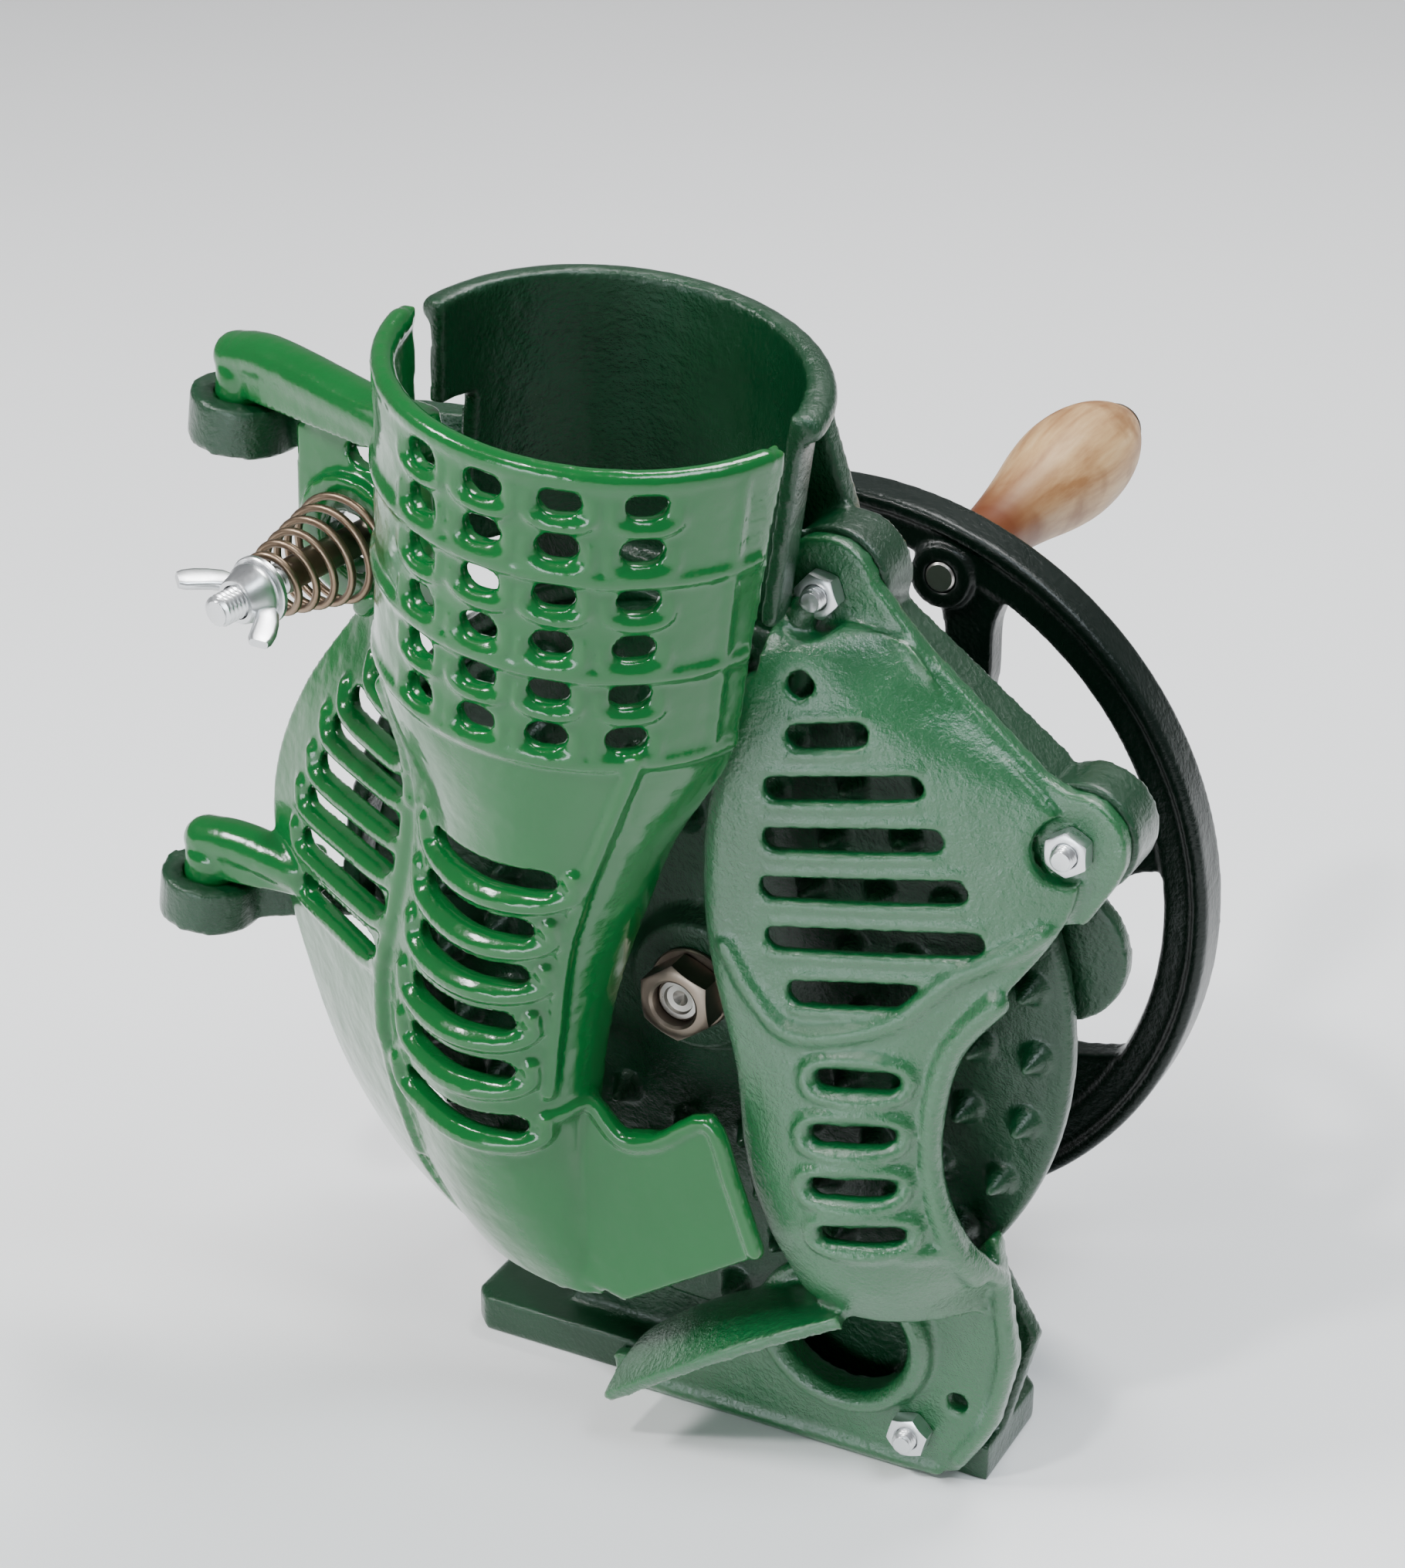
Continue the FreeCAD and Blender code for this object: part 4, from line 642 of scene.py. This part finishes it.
def hex_nut(solid, origin, axis, flats_mm, height_mm, bore_mm, turn_deg=0.0):
    """Hexagon nut, chamfered at both faces, with a countersunk bore."""
    axes = frame_of(axis)
    flat = flats_mm / 2 * MM
    height = height_mm * MM
    bore = bore_mm * MM
    face = flat * 0.94

    def hexagon(angle):
        folded = (math.degrees(angle) + turn_deg) % 60 - 30
        return flat / math.cos(math.radians(folded))

    def chamfer(angle):
        return (hexagon(angle) - face) * math.tan(math.radians(28))

    def plain(radius, lift=0.0):
        return lambda angle: (radius, lift)

    count = 72
    rings = [
        ring_at(origin, axes, 0, plain(bore * 1.12), count),
        ring_at(origin, axes, 0, plain(face), count),
        ring_at(origin, axes, 0, lambda a: (hexagon(a), chamfer(a)), count),
        ring_at(origin, axes, height, lambda a: (hexagon(a), -chamfer(a)), count),
        ring_at(origin, axes, height, plain(face), count),
        ring_at(origin, axes, height, plain(bore * 1.12), count),
        ring_at(origin, axes, height - 0.5 * MM, plain(bore), count),
        ring_at(origin, axes, 0.5 * MM, plain(bore), count),
        ring_at(origin, axes, 0, plain(bore * 1.12), count),
    ]
    solid.grid(rings, close_ends=False)


def threaded_rod(solid, origin, axis, radius_mm, length_mm, pitch_mm, thread_from_mm=0.0):
    """Rod with a real helical thread from one distance to its chamfered tip."""
    axes = frame_of(axis)
    radius = radius_mm * MM
    depth = 0.55 * pitch_mm * MM
    count = 28
    step = pitch_mm / 6
    distances = [0.0] if thread_from_mm > 0 else []
    distance = thread_from_mm
    while distance < length_mm:
        distances.append(distance)
        distance += step
    distances.append(length_mm)
    rings = []
    for distance in distances:
        fade = min(1.0, max(0.0, (distance - thread_from_mm) / pitch_mm))
        tip = max(0.0, 1.0 - (length_mm - distance) / 0.9)

        def profile(angle):
            phase = (distance / pitch_mm - angle / (2 * math.pi)) % 1.0
            groove = depth * abs(2 * phase - 1) * fade
            return radius - groove - tip * radius * 0.16, 0.0

        rings.append(ring_at(origin, axes, distance * MM, profile, count))
    solid.grid(rings)


def turned(solid, origin, axis, profile, sides=64):
    solid.revolve([(a * MM, b * MM) for a, b in profile], origin, axis, sides)


def washer_profile(bore, outer, thickness, edge):
    """Section of a washer, collar or bush with broken outer edges."""
    return [(0, bore), (0, outer - edge), (edge, outer), (thickness - edge, outer),
            (thickness, outer - edge), (thickness, bore), (0, bore)]


def make_piece(solid, name, body, material, replaced, sharp_deg=32):
    thing = solid.object(name)
    finish_piece(thing, body, material, replaced)
    thing.data.set_sharp_from_angle(angle=math.radians(sharp_deg))


def at_y(centre, y):
    """Point level with a centre line along Y."""
    return Vector((centre.x, y, centre.z))


# ------------------------------------------------------ nuts and bolts

LUGS = ((28, 239, -3.0), (92, 187.5, -3.0), (57.5, 13.5, -6.0))  # x, z and the rear face's y
COVER_NUT_Y = -23.0
COVER_WASHER_THICKNESS = 1.2
BOLT_SUNK_IN_HEAD = 1.5
BOLT_PAST_NUT = 8

CRANK_ANGLE = math.radians(71.6)
CRANK_THROW = 90 * MM
CRANK = SHAFT + Vector((math.cos(CRANK_ANGLE), 0, math.sin(CRANK_ANGLE))) * CRANK_THROW

BOLT_LEAN = math.radians(10)
TENSION_WEB = mm(-90, -38, 235)
TENSION_DIR = Vector((-math.sin(BOLT_LEAN), -math.cos(BOLT_LEAN), -0.06)).normalized()
TENSION_HEAD = -33
THREAD_FROM = 25
CAP_WASHER_FROM = 32.3
WING_NUT_FROM = 33.9


def tension_point(distance_mm):
    """Point on the tension bolt, measured forward from the frame's web."""
    return TENSION_WEB + TENSION_DIR * (distance_mm * MM)


nuts = Solid()
bolts = Solid()
for i, (x, z, rear) in enumerate(LUGS):
    hex_nut(nuts, mm(x, COVER_NUT_Y, z), FRONT,
            flats_mm=10, height_mm=5, bore_mm=3.0, turn_deg=11 + 17 * i)
    threaded_rod(bolts, mm(x, rear + BOLT_SUNK_IN_HEAD, z), FRONT, radius_mm=3.0,
                 length_mm=rear + BOLT_SUNK_IN_HEAD - COVER_NUT_Y + BOLT_PAST_NUT,
                 pitch_mm=1.0, thread_from_mm=10)
    hex_nut(bolts, mm(x, rear + COVER_WASHER_THICKNESS, z), REAR,
            flats_mm=10, height_mm=4, bore_mm=0.4, turn_deg=20 * i)
make_piece(nuts, "cover_nut_set", "stand", zinc, ["cover_nuts"])
make_piece(bolts, "cover_bolt_set", "stand", zinc, ["cover_bolts"])

nut_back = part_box("shaft_nut")[1].y
shaft_nut = Solid()
hex_nut(shaft_nut, at_y(SHAFT, nut_back), FRONT, flats_mm=18, height_mm=9, bore_mm=6.0, turn_deg=25)
make_piece(shaft_nut, "shaft_front_nut", "rotor", black_steel, ["shaft_nut"])

wheel_nut = Solid()
hex_nut(wheel_nut, at_y(SHAFT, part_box("flywheel_nut")[0].y), REAR,
        flats_mm=18, height_mm=9, bore_mm=6.0, turn_deg=5)
make_piece(wheel_nut, "flywheel_rear_nut", "rotor", zinc, ["flywheel_nut"])

# The crank nut wears the flywheel's black enamel as painted shade: it lies in shadow behind the rim, where
# no bright nut shows.
crank_nut = Solid()
hex_nut(crank_nut, at_y(CRANK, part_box("spindle_nut")[0].y), REAR,
        flats_mm=13, height_mm=3.5, bore_mm=4.0, turn_deg=10)
make_piece(crank_nut, "crank_nut", "rotor", wheel_enamel, ["spindle_nut"])

lock_nut = Solid()
hex_nut(lock_nut, tension_point(-17), TENSION_DIR, flats_mm=13, height_mm=5, bore_mm=4.0, turn_deg=8)
make_piece(lock_nut, "tension_back_nut", "stand", zinc, ["tension_lock_nut"])

# The tension bolt is bright at its threaded tip and dark along its shank.
tension_rod = Solid()
threaded_rod(tension_rod, tension_point(THREAD_FROM), TENSION_DIR,
             radius_mm=4.0, length_mm=23, pitch_mm=1.25, thread_from_mm=1)
make_piece(tension_rod, "tension_rod_tip", "stand", zinc, ["tension_bolt"])

shank_length = THREAD_FROM - TENSION_HEAD
rod_shank = Solid()
turned(rod_shank, tension_point(TENSION_HEAD), TENSION_DIR,
       [(0, NEAR_AXIS), (0, 4.0), (shank_length, 4.0), (shank_length, NEAR_AXIS)], sides=40)
hex_nut(rod_shank, tension_point(TENSION_HEAD), TENSION_DIR,
        flats_mm=13, height_mm=5, bore_mm=0.5, turn_deg=0)
make_piece(rod_shank, "tension_rod_shank", "stand", black_steel, ["tension_bolt"])


# ------------------------------------------------------------- wing nut

WING_HUB = [(0, 4.3), (0, 7.0), (0.6, 7.4), (2.2, 7.4), (3.6, 6.6), (6.8, 5.7), (7.4, 5.3), (7.4, 4.3),
            (0, 4.3)]
# Sections of a wing: along the bolt, out from it, half width, half thickness.
WING_SECTIONS = ((3.0, 4.6, 2.6, 1.7), (4.0, 7.0, 2.9, 1.5), (6.5, 9.3, 3.0, 1.35),
                 (9.5, 11.3, 3.1, 1.25), (12.0, 12.6, 2.9, 1.2), (13.3, 13.3, 2.2, 1.1))
WING_TURNS = (158, 338)
RIGHT_OF_BOLT = Vector((math.cos(BOLT_LEAN), -math.sin(BOLT_LEAN), 0))
UP_OF_BOLT = TENSION_DIR.cross(RIGHT_OF_BOLT)


def across_bolt(angle):
    """Direction square to the tension bolt, turned from its right side upwards."""
    return RIGHT_OF_BOLT * math.cos(angle) + UP_OF_BOLT * math.sin(angle)


def wing_ring(centre, wide, thick, half_width, half_thick):
    """Rounded-square section of a wing."""
    ring = []
    for k in range(16):
        angle = 2 * math.pi * k / 16
        c = math.copysign(abs(math.cos(angle)) ** 0.5, math.cos(angle))
        s = math.copysign(abs(math.sin(angle)) ** 0.5, math.sin(angle))
        ring.append(centre + wide * (c * half_width * MM) + thick * (s * half_thick * MM))
    return ring


def wing_rings(out):
    """Sections of one wing, bent forward as it goes out from the hub."""
    wide = (TENSION_DIR * 0.55 - out * 0.83).normalized()
    thick = TENSION_DIR.cross(out).normalized()
    return [wing_ring(tension_point(WING_NUT_FROM + along) + out * (reach * MM), wide, thick,
                      half_width, half_thick)
            for along, reach, half_width, half_thick in WING_SECTIONS]


wing = Solid()
turned(wing, tension_point(WING_NUT_FROM), TENSION_DIR, WING_HUB, sides=48)
for turn_deg in WING_TURNS:
    wing.grid(wing_rings(across_bolt(math.radians(turn_deg))))
make_piece(wing, "wing_nut_casting", "wing", zinc, ["wing_nut"], sharp_deg=50)


# --------------------------------------------------------------- spring

COIL_TURNS = 5.6
COIL_STEPS = 36
COIL_FROM, COIL_LENGTH = 3.5, 27.6
COIL_WIDE, COIL_NARROW = 13.5, 7.0
WIRE_RADIUS = 1.0


def coil_point(share):
    radius = COIL_WIDE + (COIL_NARROW - COIL_WIDE) * share
    return (tension_point(COIL_FROM + COIL_LENGTH * share)
            + across_bolt(2 * math.pi * COIL_TURNS * share) * (radius * MM))


# Two pieces meet half way: the wide one by the gate, the narrow one by the wing nut.
coil_path = [coil_point(i / (COIL_TURNS * COIL_STEPS)) for i in range(int(COIL_TURNS * COIL_STEPS) + 1)]
half_way = len(coil_path) // 2
for name, wire_path, first, second, start_mm, end_mm in (
        ("tension_coil_wide", coil_path[:half_way + 1], "gate", "stand", 4.6, 16.0),
        ("tension_coil_narrow", coil_path[half_way:], "stand", "spring_cap", 18.6, 30.0)):
    coil = Solid()
    coil.tube(wire_path, WIRE_RADIUS * MM, sides=12)
    spring = coil.object(name)
    coat_piece(spring, spring_wire)
    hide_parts("tension_spring")
    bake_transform(spring)


# --------------------------------------------------- washers and bushes

cover_washers = Solid()
for x, z, rear in LUGS:
    turned(cover_washers, mm(x, rear, z), REAR,
           washer_profile(bore=3.3, outer=6.2, thickness=COVER_WASHER_THICKNESS, edge=0.2))
make_piece(cover_washers, "cover_washer_set", "stand", zinc, ["cover_washers"])

cap_washer = Solid()
turned(cap_washer, tension_point(CAP_WASHER_FROM), TENSION_DIR,
       washer_profile(bore=4.1, outer=8.5, thickness=WING_NUT_FROM - CAP_WASHER_FROM, edge=0.3))
make_piece(cap_washer, "spring_cap_washer", "spring_cap", zinc, ["spring_washer"])


def turned_from_box(name, node, body, material, bore_mm):
    """Round collar or bush rebuilt from a CAD node's own box, with broken edges."""
    low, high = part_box(node)
    centre = (low + high) / 2
    radius = (high.x - low.x) / 2 / MM
    length = (high.y - low.y) / MM
    ring = Solid()
    turned(ring, at_y(centre, low.y), REAR, washer_profile(bore_mm, radius, length, edge=0.4))
    make_piece(ring, name, body, material, [node])


turned_from_box("front_washer", "shaft_washer", "rotor", black_steel, bore_mm=6.3)
turned_from_box("rear_washer", "flywheel_washer", "rotor", zinc, bore_mm=6.3)
turned_from_box("thrust_collar", "shaft_collar", "rotor", black_steel, bore_mm=7.0)
turned_from_box("front_bush", "bearing_bush_front", "stand", bush_iron, bore_mm=7.05)
turned_from_box("rear_bush", "bearing_bush_rear", "stand", bush_iron, bore_mm=7.05)


# ------------------------------------------------------ shaft and crank

THREAD_RADIUS = 5.8
JOURNAL_RADIUS = 6.95
REAR_THREAD_LENGTH = 13


def span_y(node):
    """Front end of a node and its length in millimetres."""
    low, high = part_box(node)
    return low.y, (high.y - low.y) / MM


shaft_front, shaft_length = span_y("main_shaft")
front_thread = (nut_back - shaft_front) / MM + 1.0
rear_thread = shaft_length - REAR_THREAD_LENGTH
shaft = Solid()
turned(shaft, at_y(SHAFT, shaft_front), REAR,
       [(3.2, NEAR_AXIS), (1.0, 2.1), (0.9, 3.6), (0, 4.0), (0, 5.2), (0.5, THREAD_RADIUS),
        (front_thread, THREAD_RADIUS), (front_thread, JOURNAL_RADIUS),
        (rear_thread, JOURNAL_RADIUS), (rear_thread, THREAD_RADIUS),
        (shaft_length - 0.6, THREAD_RADIUS), (shaft_length, 5.2), (shaft_length, NEAR_AXIS)])
make_piece(shaft, "main_shaft_bar", "rotor", turned_steel, ["main_shaft"])

# Share of the grip's length and share of its greatest radius.
GRIP_SHAPE = ((0.0, 0.52), (0.006, 0.56), (0.03, 0.58), (0.05, 0.55), (0.09, 0.53), (0.16, 0.55),
              (0.27, 0.63), (0.4, 0.76), (0.52, 0.90), (0.62, 0.98), (0.70, 0.99), (0.78, 0.95),
              (0.86, 0.85), (0.93, 0.70), (0.97, 0.58), (0.99, 0.52), (1.0, 0.49))
GRIP_BORE = 4.1

grip_low, grip_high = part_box("grip")
grip_length = (grip_high.y - grip_low.y) / MM
grip_radius = (grip_high.x - grip_low.x) / 2 / MM
grip_curve = smooth_path([(share * grip_length, width * grip_radius, 0) for share, width in GRIP_SHAPE], 4)
grip_profile = [(point.x, point.y) for point in grip_curve]
grip_profile += [(grip_length, GRIP_BORE), (0, GRIP_BORE), grip_profile[0]]
handle = Solid()
turned(handle, at_y(CRANK, grip_low.y), REAR, grip_profile, sides=72)
make_piece(handle, "grip_turning", "handle", turned_wood, ["grip"], sharp_deg=40)

cap = Solid()
turned(cap, at_y(CRANK, span_y("grip_end_cap")[0]), REAR,
       [(0, 4.0), (0, 7.3), (0.8, 7.3), (1.7, 6.7), (2.4, 5.8), (2.8, 5.0), (2.85, 4.0), (0, 4.0)])
make_piece(cap, "grip_cap", "rotor", black_steel, ["grip_end_cap"])

pin_front, pin_length = span_y("crank_spindle")
pin = Solid()
turned(pin, at_y(CRANK, pin_front), REAR,
       [(0, NEAR_AXIS), (0, 3.5), (0.5, 4.0), (pin_length - 0.4, 4.0), (pin_length, 3.6),
        (pin_length, NEAR_AXIS)])
make_piece(pin, "crank_pin", "rotor", turned_steel, ["crank_spindle"])

key = nodes["flywheel_key"]
key.data.materials.clear()
key.data.materials.append(turned_steel)


# ----------------------------------------------------- floor and lights

FLOOR_REACH = 6.0
PAPER_SHADES = [(0.3, (0.93, 0.93, 0.93)), (0.7, (0.96, 0.96, 0.96))]
WHITE = (1, 1, 1)

# Name, position, target, width, height, power, colour.
LIGHTS = (
    ("window", (-1.2, -0.9, 1.5), (0, 0, 0.15), 0.5, 0.3, 28, WHITE),
    ("front_panel", (-0.15, -1.7, 0.3), (0.05, 0, 0.17), 0.9, 0.4, 13, (0.86, 0.95, 1.0)),
    ("overhead", (0.2, 0.9, 1.9), (0, 0, 0.1), 0.9, 0.5, 34, WHITE),
    ("skylight", (0.75, -0.15, 1.5), (0.03, -0.03, 0.17), 0.75, 0.45, 15, (0.84, 0.93, 1.0)),
    ("spark", (-0.25, -1.1, 1.7), (0, 0, 0.15), 0.14, 0.14, 15, WHITE),
)
WORLD_COLOR = (0.95, 0.97, 1.0, 1.0)
WORLD_STRENGTH = 0.26


def stage_plane():
    mesh = bpy.data.meshes.new("floor")
    corners = [(-1, -1), (1, -1), (1, 1), (-1, 1)]
    mesh.from_pydata([(x * FLOOR_REACH, y * FLOOR_REACH, 0) for x, y in corners], [], [(0, 1, 2, 3)])
    floor = bpy.data.objects.new("floor", mesh)
    bpy.context.scene.collection.objects.link(floor)
    material, tree, shader = node_material("floor_paper")
    coords = tree.nodes.new("ShaderNodeTexCoord").outputs["Object"]
    paper = ramp(tree, add_noise(tree, coords, 3.0), PAPER_SHADES)
    tree.links.new(paper, shader.inputs["Base Color"])
    shader.inputs["Roughness"].default_value = 0.9
    floor.data.materials.append(material)


def soft_light(name, position, target, width, height, power, color):
    data = bpy.data.lights.new(name, "AREA")
    data.shape = "RECTANGLE"
    data.size = width
    data.size_y = height
    data.energy = power
    data.color = color
    lamp = bpy.data.objects.new(name, data)
    bpy.context.scene.collection.objects.link(lamp)
    lamp.location = position
    lamp.rotation_euler = (Vector(target) - Vector(position)).to_track_quat("-Z", "Y").to_euler()


stage_plane()
for light in LIGHTS:
    soft_light(*light)

world = bpy.data.worlds.new("studio")
bpy.context.scene.world = world
world.use_nodes = True
background = world.node_tree.nodes["Background"]
background.inputs["Color"].default_value = WORLD_COLOR
background.inputs["Strength"].default_value = WORLD_STRENGTH


# --------------------------------------------------------------- camera

LENS_MM = 79.77
CAMERA_AT = mm(340.08, -693.77, 547.18)
AZIMUTH = math.radians(27.107)
ELEVATION = math.radians(25.82)
ROLL = math.radians(0.115)

camera_data = bpy.data.cameras.new("camera")
camera_data.lens = LENS_MM
camera = bpy.data.objects.new("camera", camera_data)
bpy.context.scene.collection.objects.link(camera)
camera.location = CAMERA_AT
aim = Matrix.Rotation(AZIMUTH, 3, "Z") @ Matrix.Rotation(math.pi / 2 - ELEVATION, 3, "X")
camera.rotation_euler = (aim @ Matrix.Rotation(ROLL, 3, "Z")).to_euler()
bpy.context.scene.camera = camera
